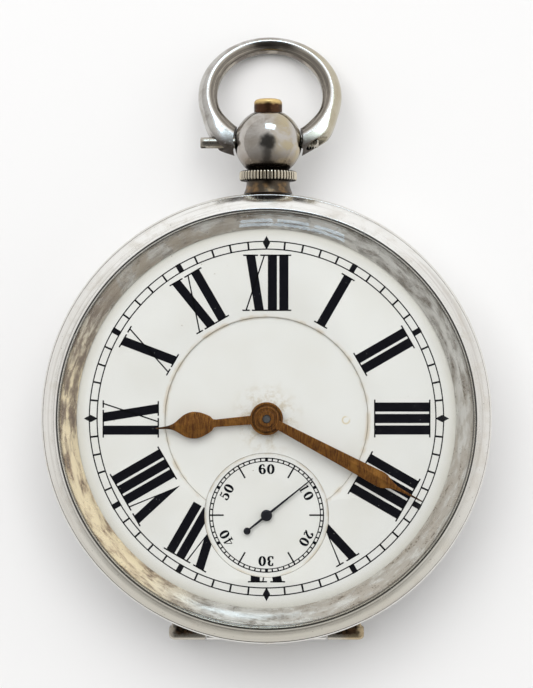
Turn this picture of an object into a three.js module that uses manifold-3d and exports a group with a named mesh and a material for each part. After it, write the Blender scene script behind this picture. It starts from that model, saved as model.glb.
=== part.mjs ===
// A key-wound open face pocket watch, lying on its back, in millimetres.
// +Z comes out of the dial, +Y points at 12 o'clock, and the origin is the centre of the flat of
// the back cover. Each sub-part is built around its own axis and then placed.
import * as THREE from 'three';
import { mergeVertices } from 'three/addons/utils/BufferGeometryUtils.js';
import Module from 'manifold-3d';

const wasm = await Module();
wasm.setup();

// ---- driving dimensions ----

const TURN = Math.PI * 2;
const CASE_SIDES = 40;
const SMALL_SIDES = 12;
const PIVOT_SIDES = 8;

// case
const CASE_R = 27;
const BAND_BOTTOM = 4.8;
const BAND_TOP = 11.75;
const BAND_BORE_R = 23;
const BAND_LOWER_BORE_R = 23.3;
const LEDGE_R = 21.8;
const LEDGE_BOTTOM = 7.3;
const LEDGE_TOP = 7.95;
const COVER_SEAM = 0.05;

// hinge at 6 o'clock, shared by the back cover and the cuvette
const HINGE_Y = -26.3;
const HINGE_Z = BAND_BOTTOM;
const KNUCKLE_R = 0.95;
const KNUCKLE_BORE_R = 0.46;
const HINGE_PIN_R = 0.36;
const HINGE_HALF = 11.9;
const COVER_KNUCKLE = [3, 7.3];
const BAND_KNUCKLE = [7.45, HINGE_HALF];
const CUVETTE_KNUCKLE_HALF = 2.85;
const KNUCKLE_ROOM_R = 1.15;
const HINGE_RECESS_R = 1.36;

// pendant and bow
const PENDANT_X = 0.2;
const PENDANT_Y = 33.18;
const PENDANT_Z = 8.3;
const BALL_R = 4.08;
const NECK_R = 2.63;
const PENDANT_FOOT_Y = 27.05 - PENDANT_Y;
const SPIGOT_R = 2.2;
const SPIGOT_END_Y = 25.95 - PENDANT_Y;
const COLLAR_R = 3.47;
const COLLAR_BORE_R = 2.7;
const COLLAR_Y = [28.56 - PENDANT_Y, 29.77 - PENDANT_Y];
const COLLAR_RIDGES = 40;
const PUSH_R = 1.7;
const PUSH_TOP_Y = 38.49 - PENDANT_Y;
const PUSH_TRAVEL = 0.9;
const ROD_R = 0.6;
const ROD_END_Y = 25.25 - PENDANT_Y;
const BOW_R = 7.65;
const BOW_CENTRE = 6.87;
const BOW_SIDE_PLAY = 0.22;
const BOW_SIDE_HALF = 1.11;
const BOW_TOP_HALF = 0.92;
const BOW_DEPTH_HALF = 1.2;
const BOW_TILT = THREE.MathUtils.degToRad(-29.45);
const BOW_SCREW_R = 0.67;
const BOW_SCREW_X = [-8.19, 6.1];

// dial and hands
const DIAL_R = 22.8;
const DIAL_Z = [10.5, 11.4];
const CENTRE_DISC_R = 12.15;
const CENTRE_DISC_Z = [10.3, 11.1];
const SECONDS_R = 7.45;
const SECONDS_Z = [10.2, 11.0];
const SECONDS_Y = -11.57;
const DISC_SEAM = 0.08;
const HOUR_ANGLE = THREE.MathUtils.degToRad(-264.9);
const MINUTE_ANGLE = THREE.MathUtils.degToRad(-117.96);
const SECOND_ANGLE = THREE.MathUtils.degToRad(-52.5);

// movement plates
const MAIN_PLATE_R = 22.8;
const MAIN_PLATE_Z = [8, 9.4];
const TRAIN_PLATE_R = 19.8;
const TRAIN_PLATE_Z = [4.4, 5.4];
const PILLAR_R = 18.4;
const PILLAR_ANGLES = [20, 140, 285];
const CASE_SCREW_R = 21;
const CASE_SCREW_ANGLES = [0, 180];
const FOOT_R = 17;
const FOOT_ANGLES = [60, 180, 300];

// train: where each arbor stands, and its toothing
const CENTRE = { teeth: 64, module: 0.2, leaves: 12, leafModule: 0.22 };
const BARREL = { teeth: 72, module: 0.22, at: polar(9.24, 75) };
const THIRD = { teeth: 60, module: 0.18, leaves: 8, leafModule: 0.2, at: polar(7.2, 297.1) };
const FOURTH = { teeth: 70, module: 0.14, leaves: 8, leafModule: 0.18, at: [0, SECONDS_Y] };
const ESCAPE = { teeth: 15, tipR: 3.2, leaves: 7, leafModule: 0.14, at: [-5.06, -13.41] };
const ESCAPE_LINE = 125;
const LEVER_AT = offset(ESCAPE.at, 3.7, ESCAPE_LINE);
const BALANCE_AT = offset(LEVER_AT, 3.9, ESCAPE_LINE);
const BALANCE_R = 6.4;
const MINUTE_WORK = { teeth: 36, module: 0.2, leaves: 10, leafModule: 0.192, at: polar(4.8, 20) };
const CANNON = { leaves: 12, module: 0.2 };
const HOUR_WORK = { teeth: 40, module: 0.192 };
const RATCHET = { teeth: 24, tipR: 2.9, rootR: 2.5 };
const KEY_HOLE_R = 1.8;

// ---- looks ----

const LOOKS = {
  silver: look(0xcfcac0, 0.22, 1),
  glass: look(0xe8eef0, 0.05, 0),
  brass: look(0xb08a48, 0.35, 1),
  gilt: look(0xcaa45a, 0.3, 1),
  steel: look(0x9a9da3, 0.25, 1),
  blued: look(0x1c2440, 0.3, 1),
  enamel: look(0xe6e6dd, 0.2, 0),
  hand: look(0x96602a, 0.45, 1),
  black: look(0x14141a, 0.4, 0.5),
  ruby: look(0xa01538, 0.1, 0),
};

function look(color, roughness, metalness) {
  return { color, roughness, metalness };
}

// ---- places ----

function polar(radius, degrees) {
  const angle = THREE.MathUtils.degToRad(degrees);
  return [radius * Math.cos(angle), radius * Math.sin(angle)];
}

function offset(from, radius, degrees) {
  const step = polar(radius, degrees);
  return [from[0] + step[0], from[1] + step[1]];
}

function direction(from, to) {
  return Math.atan2(to[1] - from[1], to[0] - from[0]);
}

// ---- solids ----

// A geometry as a closed solid whose faces point out.
function solid(geometry) {
  const bare = new THREE.BufferGeometry();
  bare.setAttribute('position', geometry.getAttribute('position'));
  bare.setIndex(geometry.getIndex());
  const merged = mergeVertices(bare, 1e-4);
  const place = merged.getAttribute('position').array;
  const corners = merged.getIndex().array;
  const triangles = [];
  for (let i = 0; i < corners.length; i += 3) {
    const [a, b, c] = [corners[i], corners[i + 1], corners[i + 2]];
    if (a !== b && b !== c && c !== a) triangles.push(a, b, c);
  }
  if (volumeOf(place, triangles) < 0) triangles.reverse();
  return new wasm.Manifold(new wasm.Mesh({
    numProp: 3,
    vertProperties: new Float32Array(place),
    triVerts: new Uint32Array(triangles),
  }));
}

function volumeOf(place, triangles) {
  const [a, b, c] = [new THREE.Vector3(), new THREE.Vector3(), new THREE.Vector3()];
  let sum = 0;
  for (let i = 0; i < triangles.length; i += 3) {
    a.fromArray(place, triangles[i] * 3);
    b.fromArray(place, triangles[i + 1] * 3);
    c.fromArray(place, triangles[i + 2] * 3);
    sum += a.dot(b.cross(c)) / 6;
  }
  return sum;
}

// A ring or disc turned about Z, from its section as [radius, z] points.
function turned(section, sides = CASE_SIDES) {
  return solid(latheOf(section, sides).rotateX(Math.PI / 2));
}

// The same about Y, from [radius, y] points.
function turnedY(section, sides = SMALL_SIDES) {
  return solid(latheOf(section, sides));
}

function latheOf(section, sides) {
  const points = section.map(([r, h]) => new THREE.Vector2(r, h));
  const onAxis = section[0][0] === 0;
  if (!onAxis) points.push(points[0].clone());
  return new THREE.LatheGeometry(points, sides);
}

// A shaft turned about Z from steps of [lowest z, highest z, radius], each on top of the last.
function shaft(steps, sides = PIVOT_SIDES) {
  const section = [[0, steps[0][0]]];
  for (const [low, high, radius] of steps) section.push([radius, low], [radius, high]);
  section.push([0, steps.at(-1)[1]]);
  return turned(section, sides);
}

function plateOf(outline, [low, high], holes = []) {
  const shape = new THREE.Shape(outline);
  shape.holes = holes.map((hole) => new THREE.Path(hole));
  const geometry = new THREE.ExtrudeGeometry(shape, { depth: high - low, bevelEnabled: false });
  return solid(geometry.translate(0, 0, low));
}

function circlePoints(radius, sides, [x, y] = [0, 0]) {
  const points = [];
  for (let i = 0; i < sides; i += 1) {
    const angle = (i / sides) * TURN;
    points.push(new THREE.Vector2(x + radius * Math.cos(angle), y + radius * Math.sin(angle)));
  }
  return points;
}

function arcPoints(radius, from, to, steps) {
  const points = [];
  for (let i = 0; i <= steps; i += 1) {
    const angle = from + ((to - from) * i) / steps;
    points.push(new THREE.Vector2(radius * Math.cos(angle), radius * Math.sin(angle)));
  }
  return points;
}

function disc(radius, span, at = [0, 0], sides = SMALL_SIDES) {
  return plateOf(circlePoints(radius, sides, at), span);
}

function block([x0, x1], [y0, y1], [z0, z1]) {
  const box = new THREE.BoxGeometry(x1 - x0, y1 - y0, z1 - z0);
  return solid(box.translate((x0 + x1) / 2, (y0 + y1) / 2, (z0 + z1) / 2));
}

// A round bar along X between two x values, about the line through [y, z].
function barX(radius, [x0, x1], [y, z], sides = SMALL_SIDES) {
  const bar = new THREE.CylinderGeometry(radius, radius, x1 - x0, sides).rotateZ(Math.PI / 2);
  return solid(bar.translate((x0 + x1) / 2, y, z));
}

function barY(radius, [y0, y1], [x, z], sides = SMALL_SIDES) {
  const bar = new THREE.CylinderGeometry(radius, radius, y1 - y0, sides);
  return solid(bar.translate(x, (y0 + y1) / 2, z));
}

function joined(first, ...others) {
  return others.reduce((whole, piece) => whole.add(piece), first);
}

function without(first, ...cutters) {
  return cutters.reduce((whole, cutter) => whole.subtract(cutter), first);
}

// Adds a solid to a group as a named mesh with a material of its own.
function put(group, name, shape, lookOf, { at = [0, 0], z = 0, turn = 0 } = {}) {
  const data = shape.getMesh();
  const geometry = new THREE.BufferGeometry();
  geometry.setAttribute('position', new THREE.BufferAttribute(data.vertProperties, 3));
  geometry.setIndex(new THREE.BufferAttribute(data.triVerts, 1));
  geometry.computeVertexNormals();
  const mesh = new THREE.Mesh(geometry, new THREE.MeshStandardMaterial(lookOf));
  mesh.name = name;
  mesh.position.set(at[0], at[1], z);
  mesh.rotation.z = turn;
  group.add(mesh);
  return mesh;
}

// ---- toothed wheels ----

// Pointed teeth: the first tooth's middle is at the angle `phase`.
function toothOutline(teeth, module, phase = 0) {
  const pitchR = (teeth * module) / 2;
  const tipR = pitchR + 0.9 * module;
  const rootR = pitchR - 1.25 * module;
  const points = [];
  for (let i = 0; i < teeth * 2; i += 1) {
    const angle = phase + (i / (teeth * 2)) * TURN;
    const radius = i % 2 === 0 ? tipR : rootR;
    points.push(new THREE.Vector2(radius * Math.cos(angle), radius * Math.sin(angle)));
  }
  return points;
}

// The phase that puts the second wheel's gap where the first wheel's tooth is.
function meshingPhase(phase, teeth, otherTeeth, towards) {
  return towards + Math.PI - ((phase - towards) * teeth) / otherTeeth - Math.PI / otherTeeth;
}

// Windows that leave `arms` straight arms between a hub and a rim.
function windows(arms, hubR, rimR, armHalf) {
  const holes = [];
  for (let i = 0; i < arms; i += 1) {
    const from = (i / arms) * TURN;
    const to = ((i + 1) / arms) * TURN;
    const outer = Math.asin(armHalf / rimR);
    const inner = Math.asin(armHalf / hubR);
    const outerArc = arcPoints(rimR, from + outer, to - outer, 3);
    holes.push([...outerArc, ...arcPoints(hubR, to - inner, from + inner, 1)]);
  }
  return holes;
}

function wheel({ teeth, module }, span, phase, arms, hubR) {
  const rimR = (teeth * module) / 2 - 3 * module;
  return plateOf(toothOutline(teeth, module, phase), span, windows(arms, hubR, rimR, 0.3));
}

function pinion(leaves, module, span, phase = 0) {
  return plateOf(toothOutline(leaves, module, phase), span);
}

// ---- case ----

function makeBand() {
  const ring = turned([
    [BAND_LOWER_BORE_R, BAND_BOTTOM],
    [CASE_R - 0.25, BAND_BOTTOM],
    [CASE_R, BAND_BOTTOM + 0.5],
    [CASE_R, BAND_TOP - 0.55],
    [CASE_R - 0.25, BAND_TOP],
    [BAND_BORE_R, BAND_TOP],
    [BAND_BORE_R, LEDGE_TOP],
    [LEDGE_R, LEDGE_TOP],
    [LEDGE_R, LEDGE_BOTTOM],
    [BAND_LOWER_BORE_R, LEDGE_BOTTOM],
  ]);
  const [near, far] = BAND_KNUCKLE;
  const hinge = [HINGE_Y, HINGE_Z];
  const recess = joined(
    barX(HINGE_RECESS_R, [-near + 0.05, near - 0.05], hinge, 20),
    block([-near + 0.05, near - 0.05], [-28, HINGE_Y], [4, HINGE_Z + HINGE_RECESS_R]),
  );
  const knuckles = [[near, far], [-far, -near]].map((span) => barX(KNUCKLE_R, span, hinge));
  const webs = [[near, far - 0.4], [0.4 - far, -near]].map((span) => (
    block(span, [HINGE_Y, -23.9], [HINGE_Z, HINGE_Z + 0.9])
  ));
  const pinHole = barX(KNUCKLE_BORE_R, [-HINGE_HALF - 1, HINGE_HALF + 1], hinge, PIVOT_SIDES);
  const spigotHole = barY(SPIGOT_R + 0.12, [25.8, 29], [PENDANT_X, PENDANT_Z], 20);
  const rodHole = barY(ROD_R + 0.15, [24, 27], [PENDANT_X, PENDANT_Z], PIVOT_SIDES);
  const catchPocket = block([-1.7, 1.7], [22.9, 25.2], [4, 9.2]);
  const pocketRoof = block([-3, 3], [20, BAND_BORE_R], [LEDGE_BOTTOM, LEDGE_TOP]);
  return joined(
    without(ring, recess, spigotHole, rodHole, without(catchPocket, pocketRoof)),
    ...knuckles,
    ...webs,
  ).subtract(pinHole);
}

function makeBezel() {
  return turned([
    [26.7, 11.82],
    [25.15, 13.62],
    [24.86, 13.8],
    [24.66, 13.65],
    [24.66, 12.6],
    [24.05, 12.6],
    [22.66, 11.55],
    [22.88, 11.55],
    [22.88, 11.82],
  ]);
}

function makeCrystal() {
  return turned([
    [0, 15.2],
    [13, 15.0],
    [21, 14.3],
    [23.6, 12.66],
    [24.55, 12.66],
    [24.55, 13.5],
    [21.8, 15.2],
    [12, 16.0],
    [0, 16.2],
  ]);
}

function makeBackCover() {
  const top = BAND_BOTTOM - COVER_SEAM;
  const dome = turned([
    [0, 0],
    [12.5, 0],
    [18, 0.45],
    [22.5, 1.5],
    [25.8, 3.3],
    [26.7, top],
    [25.9, top],
    [25.1, 3.85],
    [22.2, 2.2],
    [12.4, 0.7],
    [0, 0.7],
  ]);
  const hinge = [HINGE_Y, HINGE_Z];
  const [near, far] = COVER_KNUCKLE;
  const end = HINGE_HALF + 0.4;
  const room = [[-near, near], [far, end], [-end, -far]].map((span) => joined(
    barX(KNUCKLE_ROOM_R, span, hinge, 20),
    block(span, [-28, HINGE_Y], [HINGE_Z - 0.9, HINGE_Z + 1]),
  ));
  const tongueRoom = block([-near, near], [HINGE_Y, -24.4], [3.85, HINGE_Z]);
  const knuckles = joined(
    barX(KNUCKLE_R, [near, far], hinge),
    barX(KNUCKLE_R, [-far, -near], hinge),
  );
  const pinHole = barX(KNUCKLE_BORE_R, [-HINGE_HALF - 1, HINGE_HALF + 1], hinge, PIVOT_SIDES);
  return joined(without(dome, tongueRoom, ...room), knuckles).subtract(pinHole);
}

function makeCuvette() {
  const top = BAND_BOTTOM - COVER_SEAM;
  const dome = turned([
    [0, 1.6],
    [14, 1.6],
    [21, 2.3],
    [23.8, 3.9],
    [24.6, top],
    [24, top],
    [20.9, 2.8],
    [13.9, 2.1],
    [0, 2.1],
  ]);
  const half = CUVETTE_KNUCKLE_HALF;
  const tongue = block([-half, half], [HINGE_Y + 0.3, -23.9], [4.1, top]);
  const knuckle = barX(KNUCKLE_R, [-half, half], [HINGE_Y, HINGE_Z]);
  const pinHole = barX(KNUCKLE_BORE_R, [-half - 1, half + 1], [HINGE_Y, HINGE_Z], PIVOT_SIDES);
  const keyHoles = [[0, 0], BARREL.at].map((at) => disc(KEY_HOLE_R, [1, 3], at));
  return joined(without(dome, ...keyHoles), tongue, knuckle).subtract(pinHole);
}

// A flat spring lying along the inside of the band, between two angles.
function springStrip(fromDegrees, toDegrees) {
  const from = THREE.MathUtils.degToRad(fromDegrees);
  const to = THREE.MathUtils.degToRad(toDegrees);
  const outline = [...arcPoints(22.9, from, to, 8), ...arcPoints(22.5, to, from, 8)];
  return plateOf(outline, [5.5, 6.6]);
}

function makeLockSpring() {
  const nose = block([-1, 1], [22.45, 24.8], [5.5, 6.6]);
  const tab = block([-1, 1], [24.15, 24.8], [5.5, 8.9]);
  return joined(springStrip(60, 91.5), nose, tab);
}

// ---- pendant, in its own group whose origin is the middle of the ball ----

function makePendant() {
  const bore = PUSH_R + 0.1;
  const boreBottom = -2.6;
  const rodBore = ROD_R + 0.15;
  const ball = [];
  const top = Math.acos(bore / BALL_R);
  const bottom = -Math.acos(2.45 / BALL_R);
  const steps = 7;
  for (let i = 0; i <= steps; i += 1) {
    const angle = top + ((bottom - top) * i) / steps;
    ball.push([BALL_R * Math.cos(angle), BALL_R * Math.sin(angle)]);
  }
  const body = turnedY([
    ...ball,
    [NECK_R, COLLAR_Y[1]],
    [NECK_R, COLLAR_Y[0]],
    [2.72, -5.3],
    [2.95, PENDANT_FOOT_Y],
    [SPIGOT_R, PENDANT_FOOT_Y],
    [SPIGOT_R, SPIGOT_END_Y],
    [rodBore, SPIGOT_END_Y],
    [rodBore, boreBottom],
    [bore, boreBottom],
  ], 16);
  return body.subtract(barX(BOW_SCREW_R + 0.1, [-5, 5], [0, 0]));
}

function makeCollar() {
  const outline = [];
  for (let i = 0; i < COLLAR_RIDGES * 2; i += 1) {
    const angle = (i / (COLLAR_RIDGES * 2)) * TURN;
    const radius = i % 2 === 0 ? COLLAR_R : COLLAR_R - 0.2;
    outline.push(new THREE.Vector2(radius * Math.cos(angle), radius * Math.sin(angle)));
  }
  const shape = new THREE.Shape(outline);
  shape.holes = [new THREE.Path(circlePoints(COLLAR_BORE_R, 20))];
  const depth = COLLAR_Y[1] - COLLAR_Y[0];
  const ring = new THREE.ExtrudeGeometry(shape, { depth, bevelEnabled: false });
  return solid(ring.rotateX(Math.PI / 2).translate(0, COLLAR_Y[1], 0));
}

function makePushPiece() {
  const shoulder = -1.5;
  const piston = turnedY([
    [0, PUSH_TOP_Y],
    [1.2, PUSH_TOP_Y],
    [1.55, PUSH_TOP_Y - 0.14],
    [PUSH_R, PUSH_TOP_Y - 0.45],
    [PUSH_R, shoulder],
    [ROD_R, shoulder],
    [ROD_R, ROD_END_Y],
    [0, ROD_END_Y],
  ]);
  const low = -BOW_SCREW_R - 0.12;
  const high = BOW_SCREW_R + 0.12 + PUSH_TRAVEL;
  return piston.subtract(block([-2, 2], [low, high], [-0.79, 0.79]));
}

// The bow is a ring whose middle line is a circle. It is thinner at the far end, and the ball's
// sweep cuts its two ends.
function makeBow() {
  const ring = new THREE.TorusGeometry(BOW_R, 1, 8, 36);
  const points = ring.getAttribute('position');
  for (let i = 0; i < points.count; i += 1) {
    const [x, y, z] = [points.getX(i), points.getY(i), points.getZ(i)];
    const radius = Math.hypot(x, y);
    const farness = Math.max(0, y / radius);
    const half = THREE.MathUtils.lerp(BOW_SIDE_HALF, BOW_TOP_HALF, farness ** 2);
    const scale = (BOW_R + (radius - BOW_R) * half) / radius;
    points.setXYZ(i, x * scale + BOW_SIDE_PLAY, y * scale + BOW_CENTRE, z * BOW_DEPTH_HALF);
  }
  const ballRoom = new THREE.SphereGeometry(BALL_R + 0.3, 16, 10);
  const screwHole = barX(BOW_SCREW_R + 0.1, [-10, 10], [0, 0]);
  return without(solid(ring), solid(ballRoom), screwHole);
}

function makeBowScrew() {
  const [left, right] = BOW_SCREW_X;
  const slot = block([left - 1, left + 0.6], [-2, 2], [-0.16, 0.16]);
  return barX(BOW_SCREW_R, [left, right], [0, 0]).subtract(slot);
}

// ---- dial and hands ----

function makeDial() {
  const centreHole = disc(CENTRE_DISC_R, [10, 12], [0, 0], 36);
  const secondsHole = disc(SECONDS_R, [10, 12], [0, SECONDS_Y], 28);
  const feet = FOOT_ANGLES.map((angle) => disc(0.4, [8.5, 10.6], polar(FOOT_R, angle), 8));
  return joined(without(disc(DIAL_R, DIAL_Z, [0, 0], CASE_SIDES), centreHole, secondsHole), ...feet);
}

function makeDialCentre() {
  return without(
    disc(CENTRE_DISC_R - DISC_SEAM, CENTRE_DISC_Z, [0, 0], 36),
    disc(SECONDS_R, [10, 12], [0, SECONDS_Y], 28),
    disc(1.5, [10, 12]),
  );
}

function makeSecondsDial() {
  return without(disc(SECONDS_R - DISC_SEAM, SECONDS_Z, [0, 0], 28), disc(0.45, [10, 12], [0, 0], 8));
}

// A hand's outline from half widths along its length, mirrored about +Y.
function handOutline(halves) {
  const right = halves.map(([y, half]) => new THREE.Vector2(half, y));
  const left = halves.map(([y, half]) => new THREE.Vector2(-half, y)).reverse();
  return [...right, ...left];
}

function makeHourHand() {
  const stem = [[0, 0.52], [6.3, 0.46]];
  const spade = [[6.6, 0.9], [7.1, 1.1], [7.6, 1.4], [8.3, 1.6], [9.2, 1.58], [10.1, 1.15], [10.8, 0.6]];
  const tip = [[11.4, 0.25], [13.3, 0.12]];
  const blade = plateOf(handOutline([...stem, ...spade, ...tip]), [12, 12.3]);
  return joined(blade, disc(1.98, [11.95, 12.45], [0, 0], 20)).subtract(disc(1.2, [11, 13]));
}

function makeMinuteHand() {
  const outline = handOutline([[0, 0.55], [15.4, 0.95], [16.4, 0.6], [17.6, 0.25], [20.97, 0.1]]);
  const blade = plateOf(outline, [12.75, 13]);
  return joined(blade, disc(1.5, [12.65, 13.15])).subtract(disc(0.8, [12, 14]));
}

function makeSecondsHand() {
  const span = [11.45, 11.6];
  return joined(
    plateOf(handOutline([[-3, 0.12], [7.05, 0.07]]), span),
    disc(0.42, span, [0, -3], 10),
    disc(0.69, [11.35, 11.75]),
  ).subtract(disc(0.24, [11, 12], [0, 0], 8));
}

// ---- movement ----

function makeMainPlate() {
  const holes = [
    disc(0.75, [7, 10]),
    disc(0.6, [7, 10], BARREL.at),
    ...[THIRD.at, ESCAPE.at, LEVER_AT, BALANCE_AT].map((at) => disc(0.25, [7, 10], at, 8)),
    disc(0.3, [7, 10], FOURTH.at, 8),
    ...FOOT_ANGLES.map((angle) => disc(0.5, [7, 10], polar(FOOT_R, angle), 8)),
    ...CASE_SCREW_ANGLES.map((angle) => disc(0.55, [7, 9.1], polar(CASE_SCREW_R, angle), 8)),
  ];
  const plate = without(disc(MAIN_PLATE_R, MAIN_PLATE_Z, [0, 0], CASE_SIDES), ...holes);
  return joined(plate, disc(0.4, [9.3, 10.2], MINUTE_WORK.at, 8));
}

function makeTrainPlate() {
  const outward = direction([0, 0], BALANCE_AT);
  const balanceRoomR = BALANCE_R + 0.4;
  const corner = polar(balanceRoomR, THREE.MathUtils.radToDeg(outward) + 90);
  const reach = polar(14, THREE.MathUtils.radToDeg(outward));
  const mouth = [
    [BALANCE_AT[0] + corner[0], BALANCE_AT[1] + corner[1]],
    [BALANCE_AT[0] + corner[0] + reach[0], BALANCE_AT[1] + corner[1] + reach[1]],
    [BALANCE_AT[0] - corner[0] + reach[0], BALANCE_AT[1] - corner[1] + reach[1]],
    [BALANCE_AT[0] - corner[0], BALANCE_AT[1] - corner[1]],
  ].map(([x, y]) => new THREE.Vector2(x, y));
  const room = joined(disc(balanceRoomR, [4, 6], BALANCE_AT, 24), plateOf(mouth, [4, 6]));
  const holes = [
    disc(0.75, [4, 6]),
    disc(1, [4, 6], BARREL.at),
    ...[THIRD.at, FOURTH.at, ESCAPE.at].map((at) => disc(0.25, [4, 6], at, 8)),
    ...PILLAR_ANGLES.map((angle) => disc(0.5, [4, 6], polar(PILLAR_R, angle), 8)),
    disc(0.3, [4, 6], clickPivot(), 8),
  ];
  return without(disc(TRAIN_PLATE_R, TRAIN_PLATE_Z, [0, 0], 40), room, ...holes);
}

function makePillar() {
  const [low, high] = [TRAIN_PLATE_Z[1] + 0.05, MAIN_PLATE_Z[0] - 0.05];
  return turned([[0, high], [1, high], [1, low], [0.5, low], [0.5, low + 1.4], [0, low + 1.4]], 8);
}

function makeScrew(headR, headZ, shankR, tipZ) {
  const slot = block([-headR, headR], [-0.12, 0.12], [headZ[0] - 1, headZ[0] + 0.15]);
  const outer = [[0, headZ[0]], [headR, headZ[0]], [headR, headZ[1]]];
  const screw = turned([...outer, [shankR, headZ[1]], [shankR, tipZ], [0, tipZ]], 10);
  return screw.subtract(slot);
}

// An arbor with its pivots in the two plates, at z 5.0 and z 8.5.
function arborSteps(radius, upper = []) {
  return [[5, 5.5, 0.15], [5.5, 7.9, radius], ...(upper.length ? upper : [[7.9, 8.5, 0.15]])];
}

function makeCentreWheel() {
  return joined(
    shaft([[4, 5.6, 0.6], [5.6, 7.2, 0.9], [7.2, 7.85, 1.2], [7.85, 9.45, 0.6], [9.45, 13.45, 0.42]]),
    pinion(CENTRE.leaves, CENTRE.leafModule, [5.6, 7.2]),
    wheel(CENTRE, [7.4, 7.7], 0, 5, 1.4),
    block([-0.55, 0.55], [-0.55, 0.55], [2.9, 4.1]),
  );
}

function makeThirdWheel() {
  const phase = meshingPhase(0, CENTRE.teeth, THIRD.leaves, direction([0, 0], THIRD.at));
  return joined(
    shaft(arborSteps(0.3)),
    pinion(THIRD.leaves, THIRD.leafModule, [7.3, 7.85], phase),
    wheel(THIRD, [6.6, 6.9], 0, 5, 0.9),
  );
}

function makeFourthWheel() {
  const phase = meshingPhase(0, THIRD.teeth, FOURTH.leaves, direction(THIRD.at, FOURTH.at));
  return joined(
    shaft(arborSteps(0.3, [[7.9, 11.65, 0.2]])),
    pinion(FOURTH.leaves, FOURTH.leafModule, [6.5, 7], phase),
    wheel(FOURTH, [5.9, 6.15], 0, 5, 0.9),
  );
}

function makeEscapeWheel() {
  const phase = meshingPhase(0, FOURTH.teeth, ESCAPE.leaves, direction(FOURTH.at, ESCAPE.at));
  const outline = [];
  for (let i = 0; i < ESCAPE.teeth; i += 1) {
    const angle = (i / ESCAPE.teeth) * TURN;
    for (const [radius, turn] of [[2.4, 0], [ESCAPE.tipR, 0.12], [ESCAPE.tipR, 0.17], [2.4, 0.1]]) {
      const a = angle + turn;
      outline.push(new THREE.Vector2(radius * Math.cos(a), radius * Math.sin(a)));
    }
  }
  return joined(
    shaft(arborSteps(0.25)),
    pinion(ESCAPE.leaves, ESCAPE.leafModule, [5.8, 6.3], phase),
    plateOf(outline, [7, 7.2], windows(4, 0.7, 1.9, 0.25)),
  );
}

// The lever's own +X points at the balance.
function makePalletLever() {
  const arm = 1.72;
  const stones = [120, -120].map((degrees) => {
    const [x, y] = polar(arm, degrees);
    return block([x - 0.22, x + 0.22], [y - 0.22, y + 0.22], [6.55, 6.94]);
  });
  const anchor = [120, -120].map((degrees) => {
    const [x, y] = polar(arm, degrees);
    const side = polar(0.22, degrees + 90);
    return plateOf([
      new THREE.Vector2(side[0], side[1]),
      new THREE.Vector2(x + side[0], y + side[1]),
      new THREE.Vector2(x - side[0], y - side[1]),
      new THREE.Vector2(-side[0], -side[1]),
    ], [6.55, 6.8]);
  });
  const fork = without(block([2.5, 3.25], [-0.55, 0.55], [6.55, 6.8]), block([2.9, 4], [-0.25, 0.25], [6, 7]));
  return joined(
    shaft([[5.65, 6.1, 0.12], [6.1, 7.9, 0.22], [7.9, 8.5, 0.15]]),
    block([0, 2.6], [-0.2, 0.2], [6.55, 6.8]),
    fork,
    ...anchor,
    ...stones,
  );
}

const PALLET_COCK_FOOT = [-11.5, -12.8];

function makePalletCock() {
  const away = direction(LEVER_AT, PALLET_COCK_FOOT);
  const side = [-Math.sin(away) * 0.8, Math.cos(away) * 0.8];
  const outline = [
    [LEVER_AT[0] + side[0], LEVER_AT[1] + side[1]],
    [LEVER_AT[0] - side[0], LEVER_AT[1] - side[1]],
    [PALLET_COCK_FOOT[0] - side[0], PALLET_COCK_FOOT[1] - side[1]],
    [PALLET_COCK_FOOT[0] + side[0], PALLET_COCK_FOOT[1] + side[1]],
  ].map(([x, y]) => new THREE.Vector2(x, y));
  return joined(
    plateOf(outline, [5.55, 6]),
    disc(0.9, [5.55, 6], LEVER_AT),
    disc(1.1, [5.55, 7.95], PALLET_COCK_FOOT),
  ).subtract(disc(0.22, [5, 7], LEVER_AT, 8));
}

function makeBalanceWheel() {
  const rim = plateOf(circlePoints(BALANCE_R, 28), [4.6, 5.3], [circlePoints(BALANCE_R - 0.75, 28)]);
  const arm = block([-BALANCE_R + 0.5, BALANCE_R - 0.5], [-0.4, 0.4], [4.75, 5.1]);
  return joined(rim, arm, disc(1, [4.6, 5.3])).subtract(disc(0.4, [4, 6], [0, 0], 8));
}

function makeBalanceStaff() {
  return joined(
    shaft([[3.65, 4.28, 0.14], [4.28, 7.9, 0.33], [7.9, 8.5, 0.15]]),
    disc(1.1, [6.05, 6.25]),
    disc(0.14, [6.2, 6.48], [0.85, 0], 6),
  );
}

// A flat spiral strip of constant width, as one closed outline.
function spiral(innerR, outerR, turns, width, span, stepsPerTurn) {
  const steps = turns * stepsPerTurn;
  const edge = (shift) => {
    const points = [];
    for (let i = 0; i <= steps; i += 1) {
      const angle = (i / stepsPerTurn) * TURN;
      const radius = innerR + ((outerR - innerR) * i) / steps + shift;
      points.push(new THREE.Vector2(radius * Math.cos(angle), radius * Math.sin(angle)));
    }
    return points;
  };
  return plateOf([...edge(width / 2), ...edge(-width / 2).reverse()], span);
}

// The cock's own +X points outwards, from the balance to its foot.
const COCK_FOOT = [7, 9.2];
const COCK_SCREW_X = 8.1;

function makeBalanceCock() {
  const [near, far] = COCK_FOOT;
  const outline = [[0, -1.8], [4, -2.1], [near, -3.4], [far, -3.4], [far, 3.4], [near, 3.4], [4, 2.1], [0, 1.8]];
  const table = plateOf(outline.map(([x, y]) => new THREE.Vector2(x, y)), [3.4, 4.2]);
  return joined(table, disc(1.8, [3.4, 4.2]), block([near, far], [-3.4, 3.4], [4, 7.95])).subtract(
    disc(0.24, [3, 5], [0, 0], 8),
  ).subtract(disc(0.55, [3, 5.8], [COCK_SCREW_X, 0], 8));
}

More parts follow.
